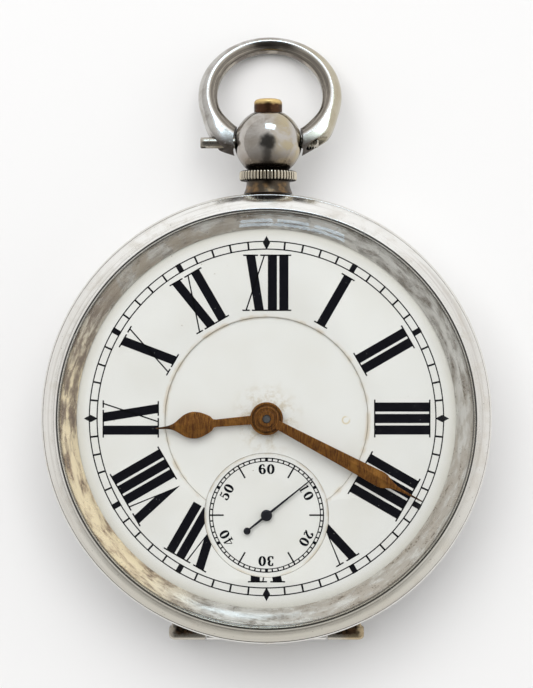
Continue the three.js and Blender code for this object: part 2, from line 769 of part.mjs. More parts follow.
function makeRegulator() {
  const pointer = [[0.9, -0.3], [3.6, -0.08], [3.6, 0.08], [0.9, 0.3]];
  return joined(
    disc(1.35, [3.03, 3.34]),
    plateOf(pointer.map(([x, y]) => new THREE.Vector2(x, y)), [3.03, 3.34]),
  ).subtract(disc(0.75, [3, 4]));
}

function makeBarrel() {
  const towards = direction([0, 0], BARREL.at);
  const phase = meshingPhase(0, CENTRE.leaves, BARREL.teeth, towards);
  const teeth = toothOutline(BARREL.teeth, BARREL.module, phase);
  const floor = plateOf(teeth, [5.6, 5.9], [circlePoints(0.99, 12)]);
  const wall = plateOf(circlePoints(7.3, 32), [5.8, 7.2], [circlePoints(6.95, 32)]);
  return joined(floor, wall);
}

function makeBarrelArbor() {
  return joined(
    shaft([[3.9, 5.5, 0.9], [5.5, 5.95, 0.88], [5.95, 6.9, 1.5], [6.9, 8.6, 0.5]], 12),
    block([-0.6, 0.6], [-0.6, 0.6], [2.9, 4]),
  );
}

function makeRatchet() {
  const outline = [];
  for (let i = 0; i < RATCHET.teeth; i += 1) {
    const angle = (i / RATCHET.teeth) * TURN;
    outline.push(new THREE.Vector2(RATCHET.tipR * Math.cos(angle), RATCHET.tipR * Math.sin(angle)));
    const next = angle + 0.02;
    outline.push(new THREE.Vector2(RATCHET.rootR * Math.cos(next), RATCHET.rootR * Math.sin(next)));
  }
  return plateOf(outline, [3.95, 4.3], [circlePoints(0.95, 12)]);
}

const CLICK_REACH = 4.4;
const CLICK_BEARING = 200;
const CLICK_TOOTH = 150;

function clickPivot() {
  return offset(BARREL.at, CLICK_REACH, CLICK_BEARING);
}

// Points given from the barrel arbor, turned into places about the click's pivot.
function makeClick() {
  const pivot = polar(CLICK_REACH, CLICK_BEARING);
  const places = [[2.64, 2], [3.2, 2], [3.8, 22], [4.6, 44], [4.2, 56], [3.25, 24]];
  const outline = places.map(([radius, degrees]) => {
    const [x, y] = polar(radius, CLICK_TOOTH + degrees);
    return new THREE.Vector2(x - pivot[0], y - pivot[1]);
  });
  return joined(
    plateOf(outline, [3.95, 4.3]),
    disc(0.7, [3.95, 4.3], [0, 0], 12),
    disc(0.2, [4, 5.2], [0, 0], 8),
  );
}

function makeClickSpring() {
  const from = THREE.MathUtils.degToRad(CLICK_TOOTH + 5);
  const to = THREE.MathUtils.degToRad(CLICK_TOOTH + 34);
  const strip = [...arcPoints(5.3, from, to, 5), ...arcPoints(5.08, to, from, 5)];
  const foot = polar(5.4, CLICK_TOOTH + 2);
  return joined(plateOf(strip, [3.95, 4.3]), disc(0.7, [3.95, 4.3], foot, 12));
}

// ---- motion work ----

function makeCannonPinion() {
  const pipe = turned([[0.47, 9.5], [0.75, 9.5], [0.75, 13.3], [0.47, 13.3]], 12);
  const leaves = plateOf(toothOutline(CANNON.leaves, CANNON.module), [9.5, 9.8], [circlePoints(0.7, 12)]);
  return joined(pipe, leaves);
}

function makeMinuteWheel() {
  const phase = meshingPhase(0, CANNON.leaves, MINUTE_WORK.teeth, direction([0, 0], MINUTE_WORK.at));
  return joined(
    plateOf(toothOutline(MINUTE_WORK.teeth, MINUTE_WORK.module, phase), [9.5, 9.75]),
    pinion(MINUTE_WORK.leaves, MINUTE_WORK.leafModule, [9.7, 10.15]),
  ).subtract(disc(0.47, [9, 11], [0, 0], 8));
}

function makeHourWheel() {
  const towards = direction(MINUTE_WORK.at, [0, 0]);
  const phase = meshingPhase(0, MINUTE_WORK.leaves, HOUR_WORK.teeth, towards);
  const teeth = toothOutline(HOUR_WORK.teeth, HOUR_WORK.module, phase);
  const pipe = turned([[0.85, 9.85], [1.15, 9.85], [1.15, 12.3], [0.85, 12.3]], 12);
  return joined(plateOf(teeth, [9.85, 10.1], [circlePoints(1, 12)]), pipe);
}

// ---- assembly ----

const watch = new THREE.Group();

function addCase() {
  const group = new THREE.Group();
  put(group, 'case_band', makeBand(), LOOKS.silver);
  put(group, 'bezel', makeBezel(), LOOKS.silver);
  put(group, 'crystal', makeCrystal(), LOOKS.glass);
  put(group, 'back_cover', makeBackCover(), LOOKS.silver);
  put(group, 'cuvette', makeCuvette(), LOOKS.brass);
  const pinSpan = [-HINGE_HALF + 0.1, HINGE_HALF - 0.1];
  const pin = barX(HINGE_PIN_R, pinSpan, [HINGE_Y, HINGE_Z], PIVOT_SIDES);
  put(group, 'hinge_pin', pin, LOOKS.steel);
  put(group, 'lock_spring', makeLockSpring(), LOOKS.blued);
  put(group, 'fly_spring', springStrip(222, 258), LOOKS.blued);
  watch.add(group);
}

function addPendant() {
  const group = new THREE.Group();
  group.position.set(PENDANT_X, PENDANT_Y, PENDANT_Z);
  put(group, 'pendant', makePendant(), LOOKS.silver);
  put(group, 'milled_collar', makeCollar(), LOOKS.silver);
  put(group, 'push_piece', makePushPiece(), LOOKS.brass);
  const bowGroup = new THREE.Group();
  bowGroup.rotation.x = BOW_TILT;
  put(bowGroup, 'bow', makeBow(), LOOKS.silver);
  put(bowGroup, 'bow_screw', makeBowScrew(), LOOKS.steel);
  group.add(bowGroup);
  watch.add(group);
}

function addDial() {
  const group = new THREE.Group();
  put(group, 'dial', makeDial(), LOOKS.enamel);
  put(group, 'dial_centre', makeDialCentre(), LOOKS.enamel);
  put(group, 'seconds_dial', makeSecondsDial(), LOOKS.enamel, { at: [0, SECONDS_Y] });
  put(group, 'hour_hand', makeHourHand(), LOOKS.hand, { turn: HOUR_ANGLE });
  put(group, 'minute_hand', makeMinuteHand(), LOOKS.hand, { turn: MINUTE_ANGLE });
  put(group, 'seconds_hand', makeSecondsHand(), LOOKS.black, { at: [0, SECONDS_Y], turn: SECOND_ANGLE });
  watch.add(group);
}

function addPlates() {
  const group = new THREE.Group();
  put(group, 'main_plate', makeMainPlate(), LOOKS.gilt);
  put(group, 'train_plate', makeTrainPlate(), LOOKS.gilt);
  PILLAR_ANGLES.forEach((angle, i) => {
    const at = polar(PILLAR_R, angle);
    put(group, `pillar_${i + 1}`, makePillar(), LOOKS.gilt, { at });
    put(group, `plate_screw_${i + 1}`, makeScrew(0.9, [4, 4.35], 0.4, 6.6), LOOKS.blued, { at });
  });
  CASE_SCREW_ANGLES.forEach((angle, i) => {
    const at = polar(CASE_SCREW_R, angle);
    put(group, `case_screw_${i + 1}`, makeScrew(1.1, [6.7, 7.25], 0.45, 8.9), LOOKS.blued, { at });
  });
  watch.add(group);
}

function addBarrel() {
  const group = new THREE.Group();
  group.position.set(BARREL.at[0], BARREL.at[1], 0);
  put(group, 'barrel', makeBarrel(), LOOKS.gilt);
  put(group, 'barrel_cover', turned([[0.6, 6.97], [6.85, 6.97], [6.85, 7.15], [0.6, 7.15]], 28), LOOKS.gilt);
  put(group, 'mainspring', spiral(2.1, 6.3, 3, 0.3, [6.05, 6.8], 12), LOOKS.steel);
  put(group, 'barrel_arbor', makeBarrelArbor(), LOOKS.steel);
  put(group, 'ratchet_wheel', makeRatchet(), LOOKS.steel);
  put(group, 'click_spring', makeClickSpring(), LOOKS.steel);
  put(group, 'click', makeClick(), LOOKS.steel, { at: polar(CLICK_REACH, CLICK_BEARING) });
  watch.add(group);
}

function addTrain() {
  const group = new THREE.Group();
  put(group, 'centre_wheel', makeCentreWheel(), LOOKS.gilt);
  put(group, 'third_wheel', makeThirdWheel(), LOOKS.gilt, { at: THIRD.at });
  put(group, 'fourth_wheel', makeFourthWheel(), LOOKS.gilt, { at: FOURTH.at });
  put(group, 'escape_wheel', makeEscapeWheel(), LOOKS.steel, { at: ESCAPE.at });
  put(group, 'cannon_pinion', makeCannonPinion(), LOOKS.steel);
  put(group, 'minute_wheel', makeMinuteWheel(), LOOKS.gilt, { at: MINUTE_WORK.at });
  put(group, 'hour_wheel', makeHourWheel(), LOOKS.gilt);
  watch.add(group);
}

function addEscapement() {
  const group = new THREE.Group();
  const line = THREE.MathUtils.degToRad(ESCAPE_LINE);
  const outward = direction([0, 0], BALANCE_AT);
  const screwAt = offset(BALANCE_AT, COCK_SCREW_X, THREE.MathUtils.radToDeg(outward));
  put(group, 'pallet_lever', makePalletLever(), LOOKS.steel, { at: LEVER_AT, turn: line });
  put(group, 'pallet_cock', makePalletCock(), LOOKS.gilt);
  put(group, 'balance_wheel', makeBalanceWheel(), LOOKS.gilt, { at: BALANCE_AT, turn: outward });
  put(group, 'balance_staff', makeBalanceStaff(), LOOKS.steel, { at: BALANCE_AT, turn: line + Math.PI });
  const hairspring = spiral(0.95, 3, 4, 0.12, [4.3, 4.5], 10);
  put(group, 'hairspring', hairspring, LOOKS.blued, { at: BALANCE_AT });
  put(group, 'balance_cock', makeBalanceCock(), LOOKS.gilt, { at: BALANCE_AT, turn: outward });
  put(group, 'balance_endstone', disc(0.6, [3.03, 3.34], [0, 0], 12), LOOKS.ruby, { at: BALANCE_AT });
  put(group, 'regulator', makeRegulator(), LOOKS.steel, { at: BALANCE_AT, turn: outward + 0.35 });
  put(group, 'cock_screw', makeScrew(1, [3, 3.35], 0.45, 5.6), LOOKS.blued, { at: screwAt });
  watch.add(group);
}

addCase();
addPendant();
addDial();
addPlates();
addBarrel();
addTrain();
addEscapement();

export default watch;
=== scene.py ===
"""The looks of an open face pocket watch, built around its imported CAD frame.

Shapes are worked out in millimetres in the frame's own axes (+Z out of the dial, +Y to 12 o'clock)
and turned into metres when a mesh is made.
"""
import math

import bmesh
import bpy
from mathutils import Matrix, Vector


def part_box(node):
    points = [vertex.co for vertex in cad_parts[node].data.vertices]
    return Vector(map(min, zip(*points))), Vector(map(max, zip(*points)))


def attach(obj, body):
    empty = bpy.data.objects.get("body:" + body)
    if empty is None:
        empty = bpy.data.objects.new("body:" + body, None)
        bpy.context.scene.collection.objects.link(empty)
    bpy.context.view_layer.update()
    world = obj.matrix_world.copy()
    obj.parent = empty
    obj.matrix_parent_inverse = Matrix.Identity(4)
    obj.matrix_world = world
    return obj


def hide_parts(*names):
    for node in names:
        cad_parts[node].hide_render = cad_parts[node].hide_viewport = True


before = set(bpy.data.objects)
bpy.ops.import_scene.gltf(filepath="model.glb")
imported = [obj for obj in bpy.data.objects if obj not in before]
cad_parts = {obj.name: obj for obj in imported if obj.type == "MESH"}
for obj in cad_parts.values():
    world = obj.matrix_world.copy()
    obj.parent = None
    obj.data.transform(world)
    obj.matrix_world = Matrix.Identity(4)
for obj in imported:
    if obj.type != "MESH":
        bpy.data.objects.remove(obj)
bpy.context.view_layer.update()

MM = 0.001
TURN = 2 * math.pi
ROUND = 192


# ---- sizes from the frame, in millimetres ----

def low(node, axis):
    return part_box(node)[0][axis] / MM


def high(node, axis):
    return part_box(node)[1][axis] / MM


def middle(node, axis):
    return (low(node, axis) + high(node, axis)) / 2


def centre_of(node):
    return middle(node, 0), middle(node, 1), 0


CASE_R = high("case_band", 0)
BAND_LOW = 4.8
BAND_HIGH = high("case_band", 2)
BEZEL_LOW, BEZEL_HIGH = low("bezel", 2), high("bezel", 2)
GLASS_HIGH = high("crystal", 2)
DIAL_R = high("dial", 0)
DIAL_TOP = high("dial", 2)
CENTRE_R = 12.15
CENTRE_TOP = high("dial_centre", 2)
SECONDS_AT = (0, middle("seconds_dial", 1))
SECONDS_R = 7.45
SECONDS_TOP = high("seconds_dial", 2)
HINGE_Y, HINGE_Z = -26.3, BAND_LOW
KNUCKLE_R, PIN_HOLE_R = 0.95, 0.46
PIN_ROOM = 0.7, (-13, 13)  # radius and span of what is cut out before the knuckles go on
PENDANT = (middle("milled_collar", 0), 33.18, middle("milled_collar", 2))
BALL_R, ROD_BORE_R, SCREW_HOLE_R = 4.08, 0.75, 0.76
BOW_TILT = math.radians(-29.45)
HOUR_ANGLE = math.radians(-264.9)
MINUTE_ANGLE = math.radians(-117.96)
SECOND_ANGLE = math.radians(-51.2)
PRINT, PRINT_SUNK = 0.014, 0.004
STAIN_AT, STAIN_R = (9.5, -0.2), 0.42


# ---- outlines ----

def polar(radius, degrees):
    angle = math.radians(degrees)
    return radius * math.cos(angle), radius * math.sin(angle)


def clock(radius, degrees):
    """A point at that angle clockwise from 12 o'clock."""
    return polar(radius, 90 - degrees)


def oval(cx, cy, rx, ry, start, end, steps=18):
    points = []
    for i in range(steps + 1):
        x, y = polar(1, start + (end - start) * i / steps)
        points.append((cx + rx * x, cy + ry * y))
    return points


def arc(radius, start, end, steps, centre=(0, 0)):
    return oval(*centre, radius, radius, start, end, steps)


def circle(radius, sides, centre=(0, 0)):
    return arc(radius, 0, 360, sides, centre)[:-1]


def bar(left, right, bottom, top):
    return [(left, bottom), (right, bottom), (right, top), (left, top)]


def rounded(points, steps=5):
    """A closed outline with its corners rounded. A point's third number is its corner's radius."""
    outline = []
    for i, point in enumerate(points):
        corner = Vector(point[:2])
        radius = point[2] if len(point) > 2 else 0
        if radius == 0:
            outline.append(tuple(corner))
            continue
        back = Vector(points[i - 1][:2]) - corner
        ahead = Vector(points[(i + 1) % len(points)][:2]) - corner
        half = back.angle(ahead) / 2
        reach = min(radius / math.tan(half), 0.48 * back.length, 0.48 * ahead.length)
        start = corner + back.normalized() * reach
        end = corner + ahead.normalized() * reach
        for k in range(steps + 1):
            t = k / steps
            outline.append(tuple(start * (1 - t) ** 2 + corner * 2 * t * (1 - t) + end * t ** 2))
    return outline


def flowing(points, steps=6):
    """A smooth open line through the points."""
    ends = [Vector(points[0]) * 2 - Vector(points[1]), Vector(points[-1]) * 2 - Vector(points[-2])]
    knots = [ends[0], *map(Vector, points), ends[1]]
    line = []
    for a, b, c, d in zip(knots, knots[1:], knots[2:], knots[3:]):
        for k in range(steps):
            t = k / steps
            line.append(tuple(
                (2 * b + (c - a) * t + (2 * a - 5 * b + 4 * c - d) * t ** 2
                 + (3 * b - a - 3 * c + d) * t ** 3) / 2
            ))
    line.append(tuple(points[-1]))
    return line


def mirrored(halves):
    """A closed outline from half widths along +Y, given as (y, half width)."""
    return [(w, y) for y, w in halves] + [(-w, y) for y, w in reversed(halves) if w > 0]


def turned_by(points, angle):
    c, s = math.cos(angle), math.sin(angle)
    return [(x * c - y * s, x * s + y * c) for x, y in points]


# ---- meshes ----

def new_object(name, data):
    made = bpy.data.objects.new(name, data)
    bpy.context.scene.collection.objects.link(made)
    return made


def object_of(name, work):
    """An object with the shape of a bmesh, which is used up."""
    mesh = bpy.data.meshes.new(name)
    work.to_mesh(mesh)
    work.free()
    return new_object(name, mesh)


def object_from(name, vertices, faces):
    mesh = bpy.data.meshes.new(name)
    mesh.from_pydata([(x * MM, y * MM, z * MM) for x, y, z in vertices], [], faces)
    work = bmesh.new()
    work.from_mesh(mesh)
    bmesh.ops.remove_doubles(work, verts=work.verts, dist=0.0004 * MM)
    bmesh.ops.recalc_face_normals(work, faces=work.faces)
    work.to_mesh(mesh)
    work.free()
    return new_object(name, mesh)


def lathe(name, section, sides=ROUND, axis="Z", at=(0, 0, 0), ridges=None):
    """A turned piece from its section as (radius, height). ridges(angle, radius) may change a radius."""
    vertices, rings = [], []
    for radius, height in section:
        count = 1 if radius < 1e-6 else sides
        rings.append(range(len(vertices), len(vertices) + count))
        for k in range(count):
            angle = TURN * k / sides
            r = ridges(angle, radius) if ridges and count > 1 else radius
            u, v = r * math.cos(angle), r * math.sin(angle)
            x, y, z = {"X": (height, u, v), "Y": (u, height, v), "Z": (u, v, height)}[axis]
            vertices.append((x + at[0], y + at[1], z + at[2]))
    faces = []
    pairs = list(zip(rings, rings[1:]))
    if len(rings[0]) > 1:
        pairs.append((rings[-1], rings[0]))
    for a, b in pairs:
        for k in range(sides):
            if len(a) == len(b) == 1:
                break
            n = k + 1
            quad = [a[k % len(a)], a[n % len(a)], b[n % len(b)], b[k % len(b)]]
            faces.append(list(dict.fromkeys(quad)))
    return object_from(name, vertices, faces)


def plate(name, outline, span, holes=()):
    """A flat piece between two heights, with holes."""
    work = bmesh.new()
    edges = []
    for loop in [outline, *holes]:
        corners = [work.verts.new((x * MM, y * MM, span[0] * MM)) for x, y in loop]
        edges += [work.edges.new((a, b)) for a, b in zip(corners, corners[1:] + corners[:1])]
    if holes:
        bmesh.ops.triangle_fill(work, edges=edges, use_beauty=True)
    else:
        work.faces.new(work.verts)
    grown = bmesh.ops.extrude_face_region(work, geom=work.faces[:])
    top = [v for v in grown["geom"] if isinstance(v, bmesh.types.BMVert)]
    bmesh.ops.translate(work, verts=top, vec=(0, 0, (span[1] - span[0]) * MM))
    bmesh.ops.recalc_face_normals(work, faces=work.faces)
    return object_of(name, work)


def block(name, x, y, z):
    return plate(name, bar(*x, *y), z)


def combine(piece, operation, *others):
    """Joins others to the piece, or cuts them from it, and removes them."""
    for other in others:
        step = piece.modifiers.new("combine", "BOOLEAN")
        step.operation = operation
        step.solver = "EXACT"
        step.object = other
        settle(piece)
        bpy.data.objects.remove(other)
    return piece


def settle(piece):
    """Applies the piece's modifiers."""
    seen = piece.evaluated_get(bpy.context.evaluated_depsgraph_get())
    mesh = bpy.data.meshes.new_from_object(seen)
    piece.modifiers.clear()
    piece.data = mesh


def join(name, pieces):
    """One object from several that don't need cutting."""
    work = bmesh.new()
    for piece in pieces:
        work.from_mesh(piece.data)
        bpy.data.objects.remove(piece)
    return object_of(name, work)


def soften(piece, width, segments=2, angle=32):
    """Rounds a piece's sharp edges."""
    bevel = piece.modifiers.new("edges", "BEVEL")
    bevel.width = width * MM
    bevel.segments = segments
    bevel.limit_method = "ANGLE"
    bevel.angle_limit = math.radians(angle)
    bevel.use_clamp_overlap = True
    settle(piece)
    return piece


def move(piece, turn, at=(0, 0, 0)):
    shift = Matrix.Translation(Vector(at) * MM) @ Matrix.Rotation(turn, 4, "Z")
    piece.data.transform(shift)
    return piece


def dress(piece, look, body, slot, *nodes, sharp=34):
    """Gives a piece its material and its place in the frame."""
    piece.data.materials.clear()
    piece.data.materials.append(look)
    piece.data.shade_smooth()
    piece.data.set_sharp_from_angle(angle=math.radians(sharp))
    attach(piece, body)
    if nodes:
        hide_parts(*nodes)
    return piece


# ---- materials ----

class Nodes:
    """Adds nodes to a tree. An input is a number, a colour or another node's socket."""

    def __init__(self, owner):
        owner.use_nodes = True
        self.owner, self.tree = owner, owner.node_tree
        self.tree.nodes.clear()

    def add(self, kind, inputs=None, **settings):
        node = self.tree.nodes.new("ShaderNode" + kind)
        for key, value in settings.items():
            setattr(node, key, value)
        for key, value in (inputs or {}).items():
            if isinstance(value, bpy.types.NodeSocket):
                self.tree.links.new(value, node.inputs[key])
            else:
                node.inputs[key].default_value = value
        return node

    def place(self, centre=(0, 0, 0), stretch=(1, 1, 1), turn=0):
        """Object coordinates in millimetres about a centre."""
        coordinates = self.add("TexCoord").outputs["Object"]
        return self.add("Mapping", {
            "Vector": self.add("Mapping", {
                "Vector": coordinates, "Location": [-c for c in centre], "Scale": (1 / MM,) * 3,
            }).outputs[0],
            "Rotation": (0, 0, turn),
            "Scale": stretch,
        }).outputs[0]

    def noise(self, vector, scale, detail, roughness=0.55, distortion=0.0):
        return self.add("TexNoise", {
            "Vector": vector, "Scale": scale, "Detail": detail,
            "Roughness": roughness, "Distortion": distortion,
        }).outputs["Fac"]

    def specks(self, vector, scale, size):
        """1 in small scattered dots."""
        distance = self.add("TexVoronoi", {"Vector": vector, "Scale": scale}).outputs["Distance"]
        return self.between(distance, size, size * 0.4)

    def between(self, value, start, end):
        """0 before start, 1 after end, and smooth between."""
        return self.add("MapRange", {
            "Value": value, "From Min": start, "From Max": end,
        }, interpolation_type="SMOOTHSTEP").outputs[0]

    def math(self, operation, a, b=0.0, clamp=False):
        return self.add("Math", {0: a, 1: b}, operation=operation, use_clamp=clamp).outputs[0]

    def plus(self, a, b, clamp=False):
        return self.math("ADD", a, b, clamp)

    def minus(self, a, b):
        return self.math("SUBTRACT", a, b)

    def times(self, a, b):
        return self.math("MULTIPLY", a, b)

    def most(self, a, b):
        return self.math("MAXIMUM", a, b)

    def size(self, a):
        return self.math("ABSOLUTE", a)

    def mix(self, factor, a, b):
        a, b = [c if isinstance(c, bpy.types.NodeSocket) else (*c, 1) for c in (a, b)]
        return self.add("Mix", {0: factor, 6: a, 7: b}, data_type="RGBA").outputs[2]

    def tint(self, colour, other, factor, share):
        """The colour with that share of another over it where the factor is 1."""
        return self.mix(self.times(factor, share), colour, other)

    def blend(self, factor, a, b):
        return self.add("Mix", {0: factor, 2: a, 3: b}, data_type="FLOAT").outputs[0]

    def split(self, vector):
        return self.add("SeparateXYZ", {0: vector}).outputs

    def radius(self, vector):
        """Distance from the vector's Z axis."""
        x, y, _ = self.split(vector)
        flat = self.add("CombineXYZ", {0: x, 1: y}).outputs[0]
        return self.add("VectorMath", {0: flat}, operation="LENGTH").outputs["Value"]

    def towards(self, vector, degrees):
        """The cosine of the angle between a point's direction in the XY plane and a clock angle."""
        x, y = clock(1, degrees)
        flat = self.add("VectorMath", {0: vector, 1: (1, 1, 0)}, operation="MULTIPLY").outputs[0]
        unit = self.add("VectorMath", {0: flat}, operation="NORMALIZE").outputs[0]
        return self.add("VectorMath", {0: unit, 1: (x, y, 0)}, operation="DOT_PRODUCT").outputs["Value"]

    def crevice(self, distance, start=0.75, end=0.25, alone=False):
        """1 in narrow corners and under edges, 0 in the open, with other pieces counted unless alone: ambient
        occlusion, which the materials use to paint shade into their colours.
        """
        sky = self.add("AmbientOcclusion", {"Distance": distance * MM}, samples=6, only_local=alone)
        return self.between(sky.outputs["AO"], start, end)

    def bump(self, height, strength, distance, normal=None):
        inputs = {"Height": height, "Strength": strength, "Distance": distance * MM}
        if normal:
            inputs["Normal"] = normal
        return self.add("Bump", inputs).outputs[0]

    def worn(self, place, scratch, depth, wave):
        """Bumps of fine scratches, (stretch, turn, scale) and (strength, distance), over a slow wave."""
        stretch, turn, scale = scratch
        fine = self.noise(self.place(stretch=stretch, turn=turn), scale, 4, 0.6)
        normal = self.bump(self.between(fine, 0.56, 0.72), *depth)
        return self.bump(self.noise(place, wave[0], wave[3]), wave[1], wave[2], normal)

    def surface(self, **sockets):
        """The principled shader on the output, with its sockets' names in plain words."""
        return self.out(self.add("BsdfPrincipled", {
            key.replace("_", " ").title().replace("Ior", "IOR"): value for key, value in sockets.items()
        }))

    def metal(self, colour, roughness, normal):
        return self.surface(base_color=colour, metallic=1.0, roughness=roughness, normal=normal)

    def out(self, shader, kind="OutputMaterial"):
        """Puts a shader on the output, and gives the finished material."""
        self.tree.links.new(shader.outputs[0], self.add(kind).inputs["Surface"])
        return self.owner


def material(name, centre=(0, 0, 0)):
    """A new material's nodes, and the place on it in millimetres about a centre."""
    n = Nodes(bpy.data.materials.new(name))
    return n, n.place(centre)


def case_silver():
    """Old silver: hand polish with fine scratches, warm tarnish in patches, and black painted shade in the
    corners, broken up like dirt.
    """
    n, place = material("case_silver")
    cloud = n.noise(place, 0.28, 5, 0.62, 0.4)
    fine = n.noise(place, 2.2, 6, 0.7)
    mottled = n.plus(n.times(cloud, 0.7), n.times(fine, 0.3))
    colour = n.mix(n.between(mottled, 0.55, 0.71), (0.77, 0.755, 0.72), (0.60, 0.55, 0.47))
    # painted shade mixed with dirt: ambient occlusion blackens the corners, broken up by noise
    dirt_and_corner_shade = n.times(n.crevice(1.1, alone=True), n.between(fine, 0.25, 0.6))
    pits = n.specks(place, 0.9, 0.09)
    dark = n.most(n.times(dirt_and_corner_shade, 0.4), n.times(pits, 0.55))
    colour = n.mix(dark, colour, (0.035, 0.028, 0.022))
    along = n.noise(n.place(stretch=(1.2, 14, 14), turn=0.5), 1.3, 4, 0.6)
    across = n.noise(n.place(stretch=(12, 1.1, 12), turn=0.9), 1.1, 4, 0.6)
    scratches = n.plus(n.between(along, 0.56, 0.72), n.between(across, 0.58, 0.74))
    smooth = n.blend(n.between(cloud, 0.35, 0.7), 0.1, 0.26)
    smooth = n.plus(smooth, n.times(dark, 0.35))
    smooth = n.plus(smooth, n.times(scratches, 0.06), clamp=True)
    normal = n.bump(scratches, 0.22, 0.006)
    normal = n.bump(n.noise(place, 0.7, 2), 0.35, 0.02, normal)
    return n.metal(colour, smooth, normal)


def lug_silver():
    """Bright along the outside of the hinge, with black painted shade, mixed with tarnish, where the lugs run
    in under the band.
    """
    n, place = material("lug_silver")
    x, y, _ = n.split(place)
    # painted shade mixed with tarnish: black where the lugs run in under the band, less at their tips
    rough_edge = n.plus(y, n.times(n.noise(place, 0.9, 5, 0.7), 1.3))
    black = n.between(rough_edge, HINGE_Y + 0.15, HINGE_Y + 0.7)
    tip = n.between(n.plus(n.size(x), n.times(n.noise(place, 1.3, 4), 0.6)), 11.1, 11.6)
    black = n.times(black, n.minus(1, n.times(tip, 0.75)))
    brassy = n.times(n.between(x, 8.5, 10.5), 0.8)
    bright = n.mix(brassy, (0.55, 0.51, 0.44), (0.50, 0.38, 0.21))
    deep = n.mix(n.between(n.noise(place, 2.2, 4), 0.4, 0.6), (0.018, 0.014, 0.011), (0.11, 0.065, 0.035))
    colour = n.mix(black, bright, deep)
    smooth = n.blend(black, 0.2, 0.5)
    return n.metal(colour, smooth, n.bump(n.noise(place, 3, 4), 0.3, 0.01))


def pendant_silver():
    """Grey silver with light and shade painted on: yellower on the right as a painted reflection, darker down
    the ball's lower half and dark on the neck by the collar as painted shade, painted gold highlights low on
    the neck, dark rims, and black painted shade in the corners.
    """
    n, place = material("pendant_silver", PENDANT)
    x, y, _ = n.split(place)
    cloud = n.noise(place, 0.42, 5, 0.62, 0.5)
    fine = n.noise(place, 2.6, 6, 0.7)
    # painted reflection: a yellow tint on the pendant's right side
    warm = n.times(n.between(x, -0.6, 2.4), n.between(cloud, 0.35, 0.6))
    colour = n.mix(n.between(cloud, 0.4, 0.68), (0.52, 0.495, 0.465), (0.36, 0.325, 0.285))
    colour = n.mix(warm, colour, (0.50, 0.43, 0.29))
    # painted shade: the ball darker down its lower half, towards the case
    lower_half_shade = n.between(n.plus(y, n.times(cloud, 1.6)), 0.3, -1.9)
    colour = n.tint(colour, (0.17, 0.125, 0.085), lower_half_shade, 0.7)
    # painted shade: the neck nearly black by the collar
    low = n.between(n.plus(y, n.times(fine, 1.4)), -1.4, -2.6)
    colour = n.tint(colour, (0.07, 0.055, 0.04), low, 0.93)
    # painted highlights: gold patches low on the neck
    gold = n.times(n.between(y, -4.7, -5.2), n.between(n.noise(place, 0.8, 3, 0.5), 0.46, 0.68))
    colour = n.mix(gold, colour, (0.27, 0.17, 0.085))
    rim = n.between(y, 3.25, 3.62)
    colour = n.tint(colour, (0.10, 0.09, 0.09), rim, 0.85)
    # painted shade in corners and between parts from ambient occlusion, with pits
    dark = n.most(n.times(n.crevice(0.9), 0.95), n.times(n.specks(place, 0.9, 0.08), 0.5))
    colour = n.mix(dark, colour, (0.025, 0.02, 0.016))
    smooth = n.plus(n.blend(fine, 0.08, 0.18), n.times(low, 0.2), clamp=True)
    normal = n.worn(place, ((1.2, 13, 13), 1.1, 1.3), (0.16, 0.005), (0.8, 0.3, 0.02, 2))
    return n.metal(colour, smooth, normal)


def collar_silver():
    """Worn bright on the ribs, black in the gaps between them."""
    n, place = material("collar_silver", PENDANT)
    x, y, z = n.split(place)
    flat = n.add("CombineXYZ", {0: x, 1: z}).outputs[0]
    radius = n.add("VectorMath", {0: flat}, operation="LENGTH").outputs["Value"]
    outside = high("milled_collar", 0) - PENDANT[0]
    wear = n.noise(place, 1.1, 4, 0.6)
    rib = n.between(n.plus(radius, n.times(wear, 0.06)), outside - 0.11, outside - 0.03)
    shoulder = n.between(n.size(n.minus(y, middle("milled_collar", 1) - PENDANT[1])), 0.58, 0.42)
    bright = n.mix(wear, (0.84, 0.78, 0.66), (0.62, 0.54, 0.40))
    colour = n.mix(n.times(rib, n.plus(n.times(shoulder, 0.75), 0.25)), (0.028, 0.022, 0.018), bright)
    return n.metal(colour, n.blend(rib, 0.45, 0.2), n.bump(wear, 0.2, 0.01))


